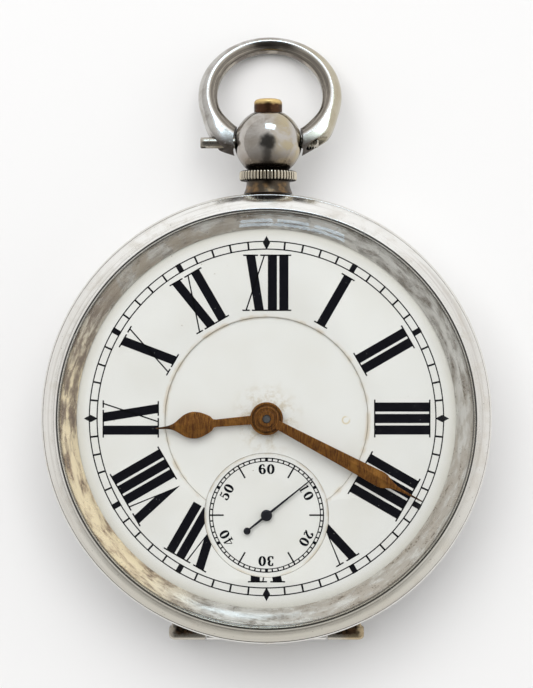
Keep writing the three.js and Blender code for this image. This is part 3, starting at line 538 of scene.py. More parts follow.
def bow_silver():
    """The bow's silver with light and shade painted across it: a painted highlight along its ridge, a
    brown-grey painted dark reflection with fine lines on its inner bevel, marked by the mesh, a yellow
    painted reflection on its right, and black painted shade at its ends and in its corners.
    """
    n, place = material("bow_silver")
    across = n.add("Attribute", attribute_name="across").outputs["Fac"]
    end = n.add("Attribute", attribute_name="end").outputs["Fac"]
    x = n.split(place)[0]
    cloud = n.noise(place, 0.5, 5, 0.62, 0.4)
    fine = n.noise(place, 2.8, 6, 0.7)
    outer = n.mix(n.between(cloud, 0.4, 0.66), (0.54, 0.525, 0.50), (0.36, 0.335, 0.30))
    # painted reflection: a yellow tint on the bow's right side
    outer = n.tint(outer, (0.52, 0.465, 0.33), n.between(x, 2, 7), 0.7)
    # painted highlight: a bright band along the ridge
    uneven = n.plus(across, n.times(n.minus(fine, 0.5), 0.22))
    colour = n.mix(n.between(uneven, 0.16, -0.08), outer, (0.82, 0.81, 0.78))
    # painted dark reflection on the inner bevel, brown-grey with fine lines
    lines = n.noise(n.add("CombineXYZ", {0: n.times(across, 9), 1: cloud}).outputs[0], 1, 3)
    inner = n.mix(n.between(lines, 0.42, 0.58), (0.40, 0.365, 0.31), (0.17, 0.15, 0.13))
    colour = n.mix(n.between(across, -0.22, -0.3), colour, inner)
    # painted shade mixed with tarnish: the ends black where they meet the ball
    foot = n.times(end, n.between(n.plus(fine, n.times(cloud, 0.6)), 0.42, 0.74))
    colour = n.mix(foot, colour, (0.075, 0.062, 0.052))
    # painted shade in corners from ambient occlusion, with nicks
    corner = n.times(n.crevice(1.0), 0.95)
    nicks = n.times(n.between(fine, 0.66, 0.74), n.between(cloud, 0.5, 0.62))
    dark = n.most(corner, n.times(nicks, 0.7))
    colour = n.mix(dark, colour, (0.03, 0.024, 0.02))
    smooth = n.plus(n.blend(cloud, 0.1, 0.2), n.times(n.most(dark, foot), 0.28), clamp=True)
    normal = n.worn(place, ((1.5, 11, 11), 0.4, 1.3), (0.2, 0.006), (0.9, 0.4, 0.03, 3))
    return n.metal(colour, smooth, normal)


def bezel_silver():
    """The bezel's silver: painted light and shade round its outer slope, brightest towards 12 and darkest
    towards 6, and a painted shadow line in the corner inside its lip; its inner wall has gone yellow on the
    left and brown-grey elsewhere.
    """
    n, place = material("bezel_silver")
    radius = n.radius(place)
    x, y, height = n.split(place)
    cloud = n.noise(place, 0.35, 5, 0.6, 0.8)
    fine = n.noise(place, 3.0, 6, 0.7)
    turned = n.add("CombineXYZ", {0: n.times(radius, 3.2), 1: n.times(x, 0.06),
                                  2: n.times(y, 0.06)}).outputs[0]
    rings = n.noise(turned, 1.0, 4, 0.6)
    # painted light and shade round the outer slope: brightest towards 12, darker at 3 and 9, darkest towards
    # 6
    lower = n.between(n.towards(place, 182), 0.0, 0.95)
    side = n.between(n.size(n.towards(place, 90)), 0.5, 1)
    outside = n.mix(n.times(side, 0.7), (0.90, 0.895, 0.87), (0.70, 0.68, 0.64))
    outside = n.mix(lower, outside, (0.57, 0.545, 0.475))
    outside = n.tint(outside, (0.42, 0.39, 0.35), n.between(rings, 0.5, 0.66), 0.4)
    outside = n.tint(outside, (0.60, 0.55, 0.47), n.between(cloud, 0.48, 0.7), 0.4)
    smear = n.add("CombineXYZ", {0: n.times(radius, 1.5), 1: n.times(x, 0.33),
                                 2: n.times(y, 0.33)}).outputs[0]
    streak = n.noise(smear, 1.0, 6, 0.62, 0.3)
    wall = n.math("LESS_THAN", radius, 24.62)
    left = n.between(n.towards(place, 252), 0.55, 0.9)
    upper_left = n.between(n.towards(place, 322), 0.7, 0.95)
    lower_right = n.between(n.towards(place, 128), 0.5, 0.9)
    yellow = n.mix(n.between(streak, 0.44, 0.64), (0.80, 0.68, 0.46), (0.36, 0.26, 0.17))
    grey = n.mix(n.between(streak, 0.4, 0.62), (0.58, 0.57, 0.535), (0.26, 0.24, 0.21))
    inside = n.mix(left, grey, yellow)
    inside = n.tint(inside, (0.36, 0.31, 0.245), upper_left, n.between(cloud, 0.3, 0.62))
    inside = n.tint(inside, (0.44, 0.40, 0.345), lower_right, n.between(streak, 0.35, 0.6))
    blotch = n.times(n.between(streak, 0.55, 0.66), n.between(fine, 0.42, 0.6))
    inside = n.mix(blotch, inside, (0.12, 0.09, 0.06))
    brown = n.times(n.between(n.towards(place, 285), 0.86, 0.97), n.between(streak, 0.38, 0.56))
    inside = n.tint(inside, (0.17, 0.125, 0.09), brown, 0.8)
    colour = n.mix(wall, outside, inside)
    # painted shadow: a dark line in the corner inside the lip
    lip_corner_shadow = n.between(n.size(n.minus(radius, 24.6)), 0.07, 0.03)
    colour = n.tint(colour, (0.03, 0.027, 0.027), lip_corner_shadow, 0.7)
    seam = n.between(height, BEZEL_LOW + 0.28, BEZEL_LOW + 0.05)
    outer = n.math("GREATER_THAN", radius, 26)
    colour = n.tint(colour, (0.25, 0.22, 0.18), n.times(seam, outer), 0.6)
    pits = n.specks(place, 0.8, 0.08)
    colour = n.tint(colour, (0.06, 0.05, 0.04), pits, 0.6)
    smooth = n.blend(n.between(cloud, 0.35, 0.7), 0.13, 0.24)
    smooth = n.plus(smooth, n.times(wall, 0.12))
    smooth = n.plus(smooth, n.times(blotch, 0.15), clamp=True)
    normal = n.worn(place, ((1, 12, 12), 0.7, 1.2), (0.2, 0.006), (0.55, 0.45, 0.03, 2))
    return n.surface(base_color=colour, metallic=n.blend(wall, 1.0, 0.35), roughness=smooth, normal=normal)


def enamel(name, edge_centre, edge_radius):
    """White vitreous enamel: faintly mottled, specked and stained, with a brown line at its sunk edge and
    painted shade towards its outer rim.
    """
    n, place = material(name)
    about = n.radius(n.place(centre=(*edge_centre, 0)))
    cloud = n.noise(place, 0.16, 3)
    colour = n.mix(n.between(cloud, 0.35, 0.7), (0.78, 0.785, 0.765), (0.75, 0.75, 0.72))
    gap = n.size(n.minus(about, edge_radius))
    rim = n.times(n.between(gap, 0.42, 0.02), n.between(n.noise(place, 0.45, 4), 0.42, 0.62))
    colour = n.tint(colour, (0.52, 0.40, 0.24), rim, 0.5)
    line = n.times(n.between(gap, 0.13, 0.03), 0.3)
    colour = n.mix(line, colour, (0.52, 0.47, 0.38))
    hands = n.times(n.between(n.radius(place), 5.2, 1.9), n.between(n.noise(place, 0.9, 5, 0.7), 0.44, 0.66))
    colour = n.tint(colour, (0.46, 0.37, 0.21), hands, 0.55)
    # painted shade: the enamel darker cream towards its outer rim, under the bezel
    near_rim = n.between(n.radius(place), 21.3, 22.7)
    colour = n.tint(colour, (0.56, 0.54, 0.46), near_rim, 0.55)
    specks = n.times(n.specks(place, 0.62, 0.06), n.between(n.noise(place, 0.2, 1), 0.42, 0.6))
    colour = n.tint(colour, (0.22, 0.16, 0.10), specks, 0.6)
    ring = n.radius(n.place(centre=(*STAIN_AT, 0)))
    mark = n.times(n.between(n.size(n.minus(ring, STAIN_R)), 0.14, 0.04),
                   n.between(n.noise(place, 0.8, 2), 0.36, 0.5))
    colour = n.tint(colour, (0.62, 0.50, 0.25), mark, 0.6)
    wave = n.bump(n.noise(place, 0.35, 2), 0.3, 0.02)
    return n.surface(
        base_color=colour, roughness=n.blend(n.noise(place, 1.5, 3), 0.16, 0.3), normal=wave,
        specular_ior_level=0.4,
    )


def black_print():
    n, place = material("dial_print")
    worn = n.specks(place, 1.6, 0.07)
    grain = n.noise(place, 4, 4)
    colour = n.mix(grain, (0.0015, 0.0015, 0.004), (0.004, 0.004, 0.007))
    colour = n.mix(worn, colour, (0.4, 0.4, 0.38))
    normal = n.bump(grain, 0.3, 0.004)
    return n.surface(base_color=colour, roughness=0.4, specular_ior_level=0.1, normal=normal)


def rusty_gilt(angle, reach):
    """Gilt steel hands whose gilding has gone to a brown, streaky rust, black towards the tip, with painted
    shade along their edges.
    """
    n, place = material(f"rusty_gilt_{round(math.degrees(-angle))}")
    streaks = n.noise(n.place(stretch=(7, 0.8, 3), turn=-angle), 1.1, 6, 0.68)
    grain = n.noise(place, 6.5, 6, 0.72)
    patch = n.noise(place, 0.55, 3)
    colour = n.mix(n.between(streaks, 0.36, 0.64), (0.11, 0.038, 0.008), (0.32, 0.132, 0.024))
    colour = n.tint(colour, (0.045, 0.016, 0.005), n.between(grain, 0.5, 0.72), 0.75)
    colour = n.tint(colour, (0.46, 0.21, 0.04), n.between(patch, 0.5, 0.7), 0.65)
    # painted shade along edges and corners from ambient occlusion, and black towards the tip
    edge = n.crevice(0.5, 0.8, 0.3)
    edge = n.most(edge, n.between(n.radius(place), reach - 2.4, reach - 1.4))
    colour = n.tint(colour, (0.03, 0.016, 0.01), edge, 0.8)
    smooth = n.blend(grain, 0.38, 0.66)
    normal = n.bump(grain, 0.5, 0.012)
    normal = n.bump(streaks, 0.4, 0.02, normal)
    return n.surface(base_color=colour, metallic=0.72, roughness=smooth, normal=normal)


def gilt(name, centre=None, core=0):
    """Gilt brass: frosted on the plates, or turned in fine rings about a centre, with a steel core and
    painted shade in its corners.
    """
    n, place = material(name)
    cloud = n.noise(place, 0.3, 4)
    spots = n.noise(place, 1.4, 5, 0.65)
    colour = n.mix(n.between(cloud, 0.35, 0.7), (0.80, 0.60, 0.27), (0.72, 0.50, 0.21))
    colour = n.tint(colour, (0.36, 0.22, 0.10), n.between(spots, 0.58, 0.75), 0.6)
    # painted shade in corners and between parts from ambient occlusion
    colour = n.tint(colour, (0.14, 0.08, 0.03), n.crevice(0.7), 0.5)
    if centre:
        rings = n.math("SINE", n.times(n.radius(n.place(centre=centre)), 62))
        height = n.plus(rings, n.times(n.noise(place, 3, 3), 1.5))
        normal = n.bump(height, 0.25, 0.006)
    else:
        normal = n.bump(n.noise(place, 10, 5, 0.7), 0.35, 0.01)
    if core:
        arbor = n.math("LESS_THAN", n.radius(n.place(centre=centre)), core)
        colour = n.mix(arbor, colour, (0.50, 0.50, 0.51))
    return n.metal(colour, n.blend(spots, 0.22, 0.42), normal)


def steel(name, colour, tint, roughness=(0.16, 0.34), centre=None):
    """Polished or blued steel with faint spots, brushed along or turned in fine rings about a centre."""
    n, place = material(name)
    cloud = n.noise(place, 0.5, 4)
    base = n.mix(n.between(cloud, 0.35, 0.68), colour, tint)
    spots = n.times(n.between(n.noise(place, 2.2, 5, 0.7), 0.62, 0.76), 0.6)
    base = n.mix(spots, base, (0.11, 0.07, 0.045))
    brushed = n.noise(n.place(stretch=(1, 22, 6), turn=0.35), 1.2, 4)
    if centre:
        brushed = n.math("SINE", n.times(n.radius(n.place(centre=centre)), 70))
    return n.metal(base, n.blend(cloud, *roughness), n.bump(brushed, 0.16, 0.005))


def brass(name, light, dark, grime_and_corner_shade):
    n, place = material(name)
    cloud = n.noise(place, 0.6, 5, 0.65)
    colour = n.mix(n.between(cloud, 0.38, 0.66), light, dark)
    fine = n.noise(place, 4, 5)
    # painted shade mixed with grime: darker in corners from ambient occlusion
    colour = n.tint(colour, (0.03, 0.018, 0.01), n.crevice(1.2), grime_and_corner_shade)
    colour = n.tint(colour, (0.12, 0.07, 0.03), n.between(fine, 0.6, 0.75), 0.5)
    return n.metal(colour, n.blend(fine, 0.2, 0.42), n.bump(fine, 0.25, 0.008))


def push_brass():
    """Worn gold on the push piece's top edge, partly a painted highlight, dark brown down its sides."""
    n, place = material("push_brass")
    fine = n.noise(place, 3, 5, 0.65)
    up = n.split(place)[1]
    top = PENDANT[1] + 5.31
    # worn gold with a painted highlight along the top edge
    worn = n.between(n.plus(up, n.times(fine, 0.5)), top - 0.55, top - 0.2)
    colour = n.mix(worn, (0.075, 0.035, 0.018), (0.78, 0.56, 0.24))
    colour = n.tint(colour, (0.30, 0.16, 0.07), n.between(fine, 0.56, 0.7), 0.6)
    return n.surface(
        base_color=colour, metallic=0.9, roughness=n.blend(fine, 0.22, 0.45), normal=n.bump(fine, 0.3, 0.01),
    )


def glass():
    """Clear watch glass: it mirrors at its edges and lets the rest through."""
    n, place = material("watch_glass")
    clear = n.add("BsdfTransparent", {"Color": (0.996, 0.998, 0.996, 1)})
    haze = n.noise(place, 0.8, 5)
    shine = n.add("BsdfGlossy", {"Color": (1, 1, 1, 1), "Roughness": n.blend(haze, 0.01, 0.05)})
    outside = n.minus(1.0, n.add("NewGeometry").outputs["Backfacing"])
    bend = n.times(n.add("Fresnel", {"IOR": 1.6}).outputs[0], outside)
    mixed = n.add("MixShader", {0: bend, 1: clear.outputs[0], 2: shine.outputs[0]})
    return n.out(mixed)


def ruby():
    n, place = material("ruby")
    return n.surface(
        base_color=n.mix(n.noise(place, 2, 3), (0.55, 0.02, 0.10), (0.36, 0.01, 0.06)),
        roughness=0.06, specular_ior_level=0.8, coat_weight=1.0, coat_roughness=0.03,
    )


def black_steel():
    n, place = material("black_steel")
    fine = n.noise(place, 4, 4)
    return n.surface(
        base_color=n.mix(fine, (0.008, 0.009, 0.014), (0.022, 0.022, 0.03)),
        metallic=0.4, roughness=n.blend(fine, 0.3, 0.45), normal=n.bump(fine, 0.2, 0.005),
    )


CASE_SILVER = case_silver()
STEEL = steel("steel", (0.56, 0.57, 0.59), (0.45, 0.45, 0.46))
BLUED = steel("blued_steel", (0.045, 0.07, 0.22), (0.03, 0.045, 0.13), (0.14, 0.3))


# ---- case ----

def on_hinge(name, section, sides):
    return lathe(name, section, sides, "X", (0, HINGE_Y, HINGE_Z))


def rod(radius, start, end):
    return [(0, start), (radius, start), (radius, end), (0, end)]


def hinge_bar(name, radius, span):
    return on_hinge(name, rod(radius, *span), 48)


def knuckle(name, span, nose=0):
    """A hinge tube. A nose rounds its outer end: right of the middle if positive, left if negative."""
    start, end = span
    round_nose = [(0.5 + (KNUCKLE_R - 0.5) * math.sin(t), 0.8 * (1 - math.cos(t))) for t in
                  [TURN / 4 * k / 8 for k in range(9)]]
    first = [(r, start + back) for r, back in round_nose] if nose < 0 else [(KNUCKLE_R, start, 0.08)]
    last = [(r, end - back) for r, back in reversed(round_nose)] if nose > 0 else [(KNUCKLE_R, end, 0.08)]
    section = rounded([(PIN_HOLE_R, start), *first, *last, (PIN_HOLE_R, end)])
    return on_hinge(name, section, 64)


def make_band():
    ring = lathe("watch_band", rounded([
        (23.3, BAND_LOW), (26.72, BAND_LOW, 0.12), (26.95, 5.05, 0.3), (CASE_R, 6.4, 4), (CASE_R, 10.2, 4),
        (26.93, 11.35, 0.35), (26.74, BAND_HIGH, 0.12), (23, BAND_HIGH), (23, 7.95), (21.8, 7.95),
        (21.8, 7.3), (23.3, 7.3),
    ]))
    near, far, recess_r = 7.4, 11.9, 1.36
    pendant_hole = [(0, 21.6), (ROD_BORE_R, 21.6), (ROD_BORE_R, 25.8), (2.32, 25.8), (2.32, 29), (0, 29)]
    cuts = [
        hinge_bar("recess", recess_r, (-near, near)),
        block("recess_mouth", (-near, near), (-28.2, HINGE_Y), (3.9, HINGE_Z + recess_r)),
        lathe("pendant_hole", pendant_hole, 48, "Y", (PENDANT[0], 0, PENDANT[2])),
        block("catch_pocket", (-1.7, 1.7), (22.9, 25.23), (4, 9.2)),
    ]
    combine(ring, "DIFFERENCE", *cuts)
    dress(ring, CASE_SILVER, "case", "silver", "case_band")
    make_lugs(far)


def make_lugs(far):
    """The band's two hinge tubes with their rounded noses, on webs that run in under the band."""
    lugs = []
    for side in (-1, 1):
        span = sorted((side * 7.45, side * far))
        lug = knuckle("lug", span, side)
        outline = [
            (7.5, HINGE_Y), (far - 0.8, HINGE_Y), (far - 0.35, -25.6), (far - 0.4, -25.1), (far - 1.3, -24.4),
            (9.6, -24.1), (7.5, -24.0),
        ]
        web = plate("web", [(side * x, y) for x, y in outline], (HINGE_Z + 0.02, HINGE_Z + 0.72))
        soften(web, 0.18, 3)
        combine(web, "DIFFERENCE", hinge_bar("pin_room", *PIN_ROOM))
        combine(lug, "UNION", web)
        lugs.append(lug)
    dress(join("hinge_lugs", lugs), lug_silver(), "case", "silver", "case_band")


def make_bezel():
    slope = flowing([(26.78, BEZEL_LOW + 0.02), (26.0, 12.72), (25.45, 13.32), (25.15, 13.6)], 5)
    wall = flowing([
        (24.6, 13.02), (24.3, 12.93), (23.75, 12.68), (23.2, 12.3), (22.85, 11.9), (22.67, 11.57),
    ], 5)
    section = [
        *rounded([
            *slope, (24.98, BEZEL_HIGH, 0.1), (24.72, 13.77, 0.1), (24.66, 13.6, 0.06), (24.66, 13.06),
        ]),
        *wall, (22.88, 11.57), (22.88, BEZEL_LOW),
    ]
    dress(lathe("front_bezel", section, 256), bezel_silver(), "front", "silver", "bezel", sharp=40)


def make_crystal():
    outer = flowing([(0, GLASS_HIGH), (12, 16.0), (18, 15.66), (21.8, 15.1), (23.7, 14.35), (24.48, 13.6)], 6)
    inner = flowing([(24.22, 13.14), (23.35, 13.96), (21, 14.66), (17.5, 15.1), (12, 15.4), (0, 15.6)], 6)
    section = [*outer, (24.54, 13.14), *inner]
    dress(lathe("watch_glass", section), glass(), "front", "glass", "crystal", sharp=50)


def make_back_cover():
    top = BAND_LOW - 0.05
    outer = flowing([
        (12.5, 0), (15.2, 0.12), (18, 0.45), (22.5, 1.5), (25.2, 2.85), (26.3, 3.9), (26.66, top - 0.12),
    ])
    inner = flowing([(25.15, 3.95), (22.2, 2.25), (17, 1.1), (12.4, 0.72)])
    section = [(0, 0), (8, 0), *outer, (26.6, top), (25.95, top), *inner, (0, 0.7)]
    dome = lathe("rear_cover", section)
    near, far, proud = 3, 7.3, 0.04
    end, room = 12.3, near + proud
    for span in [(-room, room), (far - proud, end), (-end, proud - far)]:
        combine(dome, "DIFFERENCE",
                hinge_bar("room", 1.15, span),
                block("mouth", span, (-28, HINGE_Y), (HINGE_Z - 0.9, HINGE_Z + 1)))
    combine(dome, "DIFFERENCE",
            block("tongue_room", (-room, room), (HINGE_Y, -24.4), (3.85, 5.4)),
            hinge_bar("pin_room", *PIN_ROOM))
    combine(dome, "UNION", knuckle("knuckle", (near, far)), knuckle("knuckle", (-far, -near)))
    dress(dome, CASE_SILVER, "back", "silver", "back_cover")


def make_cuvette():
    top = BAND_LOW - 0.05
    outer = flowing([(14, 1.6), (18, 1.9), (21, 2.35), (23, 3.2), (24.2, 4.2), (24.55, top)])
    inner = flowing([(24.02, top), (22.9, 3.75), (20.9, 2.85), (17.5, 2.38), (13.9, 2.1)])
    dome = lathe("dust_cover", [(0, 1.6), *outer, *inner, (0, 2.1)])
    half = 2.85
    key_hole_r, barrel = 1.8, centre_of("barrel_arbor")[:2]
    holes = [plate("key_hole", circle(key_hole_r, 61, at), (1, 3)) for at in ((0, 0), barrel)]
    combine(dome, "DIFFERENCE", *holes)
    tongue = soften(block("tongue", (0.08 - half, half - 0.08), (HINGE_Y + 0.3, -23.9), (4.1, top)), 0.12)
    combine(tongue, "DIFFERENCE", hinge_bar("pin_room", *PIN_ROOM))
    combine(dome, "UNION", tongue, knuckle("knuckle", (-half, half)))
    look = brass("cuvette_brass", (0.80, 0.66, 0.38), (0.66, 0.48, 0.24), 0.6)
    dress(dome, look, "dust_cover", "cuvette_brass", "cuvette")


def make_hinge_pin():
    half = 11.8
    section = rounded([(0, -half), (0.36, -half, 0.2), (0.36, half, 0.2), (0, half)])
    look = steel("pin_steel", (0.16, 0.13, 0.10), (0.09, 0.07, 0.05), (0.3, 0.5))
    dress(on_hinge("hinge_rod", section, 32), look, "case", "steel", "hinge_pin")


# ---- pendant ----

def make_pendant():
    bore, bore_floor, foot = 1.8, -2.6, -7.23
    top = math.degrees(math.acos((bore + 0.14) / BALL_R))
    bottom = -math.degrees(math.acos(2.55 / BALL_R))
    ball = arc(BALL_R, top, bottom, 40)
    section = [
        *rounded([(bore, ball[0][1] - 0.1), (bore, ball[0][1] + 0.04, 0.05), ball[0]])[:-1],
        *ball,
        *flowing([
            (2.5, -3.33), (2.44, -3.6), (2.5, -4.0), (2.6, -4.62), (2.62, -5.1), (2.74, -5.6), (2.94, -6.11),
        ]),
        (2.94, -6.13), (2.2, -6.13), (2.2, foot), (ROD_BORE_R, foot), (ROD_BORE_R, bore_floor),
        (bore, bore_floor),
    ]
    ball_piece = lathe("pendant_ball", section, 96, "Y", PENDANT)
    screw = lathe("screw_hole", rod(SCREW_HOLE_R, -5, 5), 40, "X", PENDANT)
    combine(ball_piece, "DIFFERENCE", screw)
    dress(ball_piece, pendant_silver(), "case", "silver", "pendant", sharp=50)


def make_collar():
    """Milled ring: rounded ribs with narrow gaps, its two rims rounded."""
    ribs = 50
    radius = high("milled_collar", 0) - PENDANT[0]
    bottom, top = low("milled_collar", 1) - PENDANT[1], high("milled_collar", 1) - PENDANT[1]

    def ridge(angle, r):
        if r < 2.8:
            return r
        wave = abs(math.sin(angle * ribs / 2))
        return r - 0.28 * (1 - min(1, wave * 1.25)) * min(1, (r - 2.8) / 0.4)

    section = rounded([(2.72, bottom), (radius, bottom, 0.34), (radius, top, 0.34), (2.72, top)], 6)
    collar = lathe("knurled_collar", section, ribs * 12, "Y", PENDANT, ridge)
    dress(collar, collar_silver(), "case", "silver", "milled_collar", sharp=60)


def make_push_piece():
    radius, top, foot = 1.7, high("push_piece", 1) - PENDANT[1], low("push_piece", 1) - PENDANT[1]
    section = rounded([
        (0, top - 0.03), (1.05, top, 0.3), (1.5, top - 0.12, 0.25), (radius, top - 0.42, 0.2),
        (radius, -1.5, 0.05), (0.6, -1.5), (0.6, foot, 0.15), (0, foot),
    ])
    piston = lathe("push_button", section, 64, "Y", PENDANT)
    half, travel = 0.79, 0.9
    rod_room = block("rod_room", (-2, 2), (-half, half + travel), (-half, half))
    combine(piston, "DIFFERENCE", move(rod_room, 0, PENDANT))
    dress(piston, push_brass(), "push", "push_brass", "push_piece")


def tilt(piece):
    """Turns a piece made flat about the ball's middle into the bow's resting place."""
    piece.data.transform(Matrix.Translation(Vector(PENDANT) * MM) @ Matrix.Rotation(BOW_TILT, 4, "X"))
    return piece


def ease(value):
    value = min(1, max(0, value))
    return value * value * (3 - 2 * value)


def make_bow():
    """A ring with a rounded outside, a ridge and a flat inner bevel, widening to its filed ends."""
    centre, ring_r, play = 6.87, 7.65, 0.22
    near_half, far_half, half_thickness = 1.11, 0.868, 1.19
    half_section = [
        (1, 0), (0.985, 0.2), (0.93, 0.42), (0.82, 0.62), (0.64, 0.8), (0.42, 0.91), (0.18, 0.975),
        (-0.02, 1), (-0.14, 0.985), (-0.24, 0.93), (-0.6, 0.66), (-0.86, 0.46), (-0.96, 0.36), (-1, 0.24),
        (-1, 0),
    ]
    section = half_section + [(u, -v) for u, v in reversed(half_section[1:-1])]
    steps = 144
    vertices = []
    for i in range(steps):
        angle = TURN * i / steps
        far = max(0, math.sin(angle))
        from_foot = abs((math.degrees(angle) + 90 + 180) % 360 - 180)  # in degrees
        end, tip = ease((74 - from_foot) / 26), ease((50 - from_foot) / 14)
        half = near_half + (far_half - near_half) * far ** 2
        outer, inner = half + 0.5 * end + 0.5 * tip, half * 1.1 + 0.25 * end
        for u, v in section:
            r = ring_r + u * (outer if u > 0 else inner)
            fullness = abs(v) ** (1 - 0.76 * end) if u > 0 else abs(v)
            depth = math.copysign(half_thickness * fullness * (1 - 0.1 * end), v)
            vertices.append((r * math.cos(angle) + play, r * math.sin(angle) + centre, depth))
    count = len(section)
    faces = []
    for i in range(steps):
        for k in range(count):
            a, b = i * count, ((i + 1) % steps) * count
            faces.append([a + k, b + k, b + (k + 1) % count, a + (k + 1) % count])
    bow = object_from("bow_ring", vertices, faces)
    room = lathe("ball_room", ball_section(BALL_R + 0.27), 96, "Y")
    tapped_r = SCREW_HOLE_R + 0.1
    screw = lathe("screw_hole", [
        (0, -12), (SCREW_HOLE_R, -12), (SCREW_HOLE_R, 4.4), (tapped_r, 4.6), (tapped_r, 12), (0, 12),
    ], 40, "X")
    combine(bow, "DIFFERENCE", room, screw, filed_off(0), filed_off(0, -1))
    soften(bow, 0.05, 2, 50)
    mark_bow(bow, (play, centre), ring_r)
    dress(tilt(bow), bow_silver(), "bow", "silver", "bow", sharp=50)


def filed_off(proud, side=1):
    """What was filed off one of the bow's ends: a slanting block, proud by that much of the bow's face."""
    corner, along = Vector((4.1, -1.2)), Vector((2.5, 1.7 if side > 0 else 0.9)).normalized()
    out = Vector((along.y, -along.x))
    start, end = corner - along * 4 + out * proud, corner + along * 8 + out * proud
    outline = [(side * point.x, point.y) for point in (start, end, end + out * 6, start + out * 6)]
    return plate("file", outline[::side], (-4, 4))


def mark_bow(bow, centre, ring_r):
    """Marks how far out across the bow each point is, and the two ends, for the material, which paints its
    highlight, dark bevel and shaded ends by them.
    """
    across = bow.data.attributes.new("across", "FLOAT", "POINT")
    end = bow.data.attributes.new("end", "FLOAT", "POINT")
    for i, vertex in enumerate(bow.data.vertices):
        x, y = vertex.co.x / MM - centre[0], vertex.co.y / MM - centre[1]
        across.data[i].value = math.hypot(x, y) - ring_r
        end.data[i].value = ease((1.4 - vertex.co.y / MM) / 2.2)


def ball_section(radius):
    """Half a circle as a closed turned section."""
    points = arc(radius, -90, 90, 48)
    points[0], points[-1] = (0, -radius), (0, radius)
    return points


def make_bow_screw():
    left, right = -8.19, 6.1
    radius = 0.67
    thread_from = 4.4
    section = [(0, left), (0.5, left), (0.6, left + 0.04), (radius, left + 0.16), (radius, left + 0.5)]
    section += [(radius, thread_from - 0.3)]
    pitch = 0.32
    x = thread_from
    while x + pitch < right - 0.06:
        section += [(radius - 0.2, x), (radius - 0.2, x + 0.1), (radius, x + 0.2), (radius, x + 0.25)]
        x += pitch
    section += [(radius - 0.1, right), (0, right)]
    screw = lathe("bow_pivot_screw", section, 48, "X")
    slot = block("slot", (left - 1, left + 0.62), (-2, 2), (-0.16, 0.16))
    combine(screw, "DIFFERENCE", slot, filed_off(0.3))
    look = steel("screw_steel", (0.50, 0.47, 0.41), (0.32, 0.28, 0.22), (0.2, 0.36))
    dress(tilt(screw), look, "bow", "steel", "bow_screw")


# ---- dial ----

def dial_hole(radius, sides, centre=(0, 0)):
    return plate("hole", circle(radius, sides, centre), (10, 12))


def make_dial():
    """Three pieces of enamel: the ring with the hours, the sunk centre and the sunk seconds dial."""
    seconds_sides, ledge = 144, 0.03
    plain = plate("dial_plate", circle(DIAL_R - 0.02, ROUND), (10.5, DIAL_TOP))
    combine(plain, "DIFFERENCE", dial_hole(CENTRE_R, ROUND), dial_hole(SECONDS_R, seconds_sides, SECONDS_AT))
    soften(plain, 0.1, 3, 50)
    dress(plain, enamel("dial_enamel", (0, 0), CENTRE_R + 0.05), "case", "enamel", "dial", sharp=60)
    centre = plate("sunk_centre", circle(CENTRE_R - ledge, ROUND), (10.3, CENTRE_TOP))
    combine(centre, "DIFFERENCE", dial_hole(SECONDS_R, seconds_sides, SECONDS_AT), dial_hole(1.5, 48))
    dress(centre, enamel("centre_enamel", (0, 0), CENTRE_R), "case", "enamel", "dial_centre")
    small = plate("sunk_seconds", circle(SECONDS_R - ledge, seconds_sides, SECONDS_AT), (10.2, SECONDS_TOP))
    combine(small, "DIFFERENCE", dial_hole(0.45, 32, SECONDS_AT))
    dress(small, enamel("seconds_enamel", SECONDS_AT, SECONDS_R), "case", "enamel", "seconds_dial")


# a numeral's thick stroke, the gap between letters, its thin lines and how far a serif stands out
STROKE, GAP, HAIR, SERIF = 1.09, 0.28, 0.17, 0.34
NUMERAL_IN, NUMERAL_OUT = 12.93, 19.5
PRINT_CLEAR_R = 7.42
GLYPH_WIDTH = {"I": STROKE, "V": 2.4, "X": 2.5}
DIGIT_PEN = (0.1, 0.28)


def glyph(letter, x):
    """A letter's strokes as outlines of (x, share of the height), and its serifs as (x, length, end).

    Shares and ends count from 0 at the rim to 1 towards the centre of the dial.
    """
    if letter == "I":
        return [[(x, 0), (x + STROKE, 0), (x + STROKE, 1), (x, 1)]], [(x, STROKE, 0), (x, STROKE, 1)]
    if letter == "V":
        thick = [(x, 0), (x + STROKE, 0), (x + 1.89, 0.545), (x + 1.48, 1)]
        thin = [(x + 2.4 - HAIR, 0), (x + 2.4, 0), (x + 1.89, 0.545), (x + 1.81, 0.5)]
        return [thick, thin], [(x, STROKE, 0), (x + 2.17, 0.33, 0)]
    thick = [(x + 0.17, 0), (x + 0.17 + STROKE, 0), (x + 1.22 + STROKE, 1), (x + 1.22, 1)]
    thin = [(x + 2.28, 0), (x + 2.28 + HAIR, 0), (x + 0.1 + HAIR, 1), (x + 0.1, 1)]
    serifs = [(x + 0.17, STROKE, 0), (x + 2.2, 0.2, 0), (x + 1.22, STROKE, 1), (x + 0.08, 0.2, 1)]
    return [thick, thin], serifs


def joined_spans(spans):
    """Overlapping (start, end) spans made into one."""
    merged = []
    for start, end in sorted(spans):
        if merged and start <= merged[-1][1]:
            merged[-1] = (merged[-1][0], max(end, merged[-1][1]))
        else:
            merged.append((start, end))
    return merged


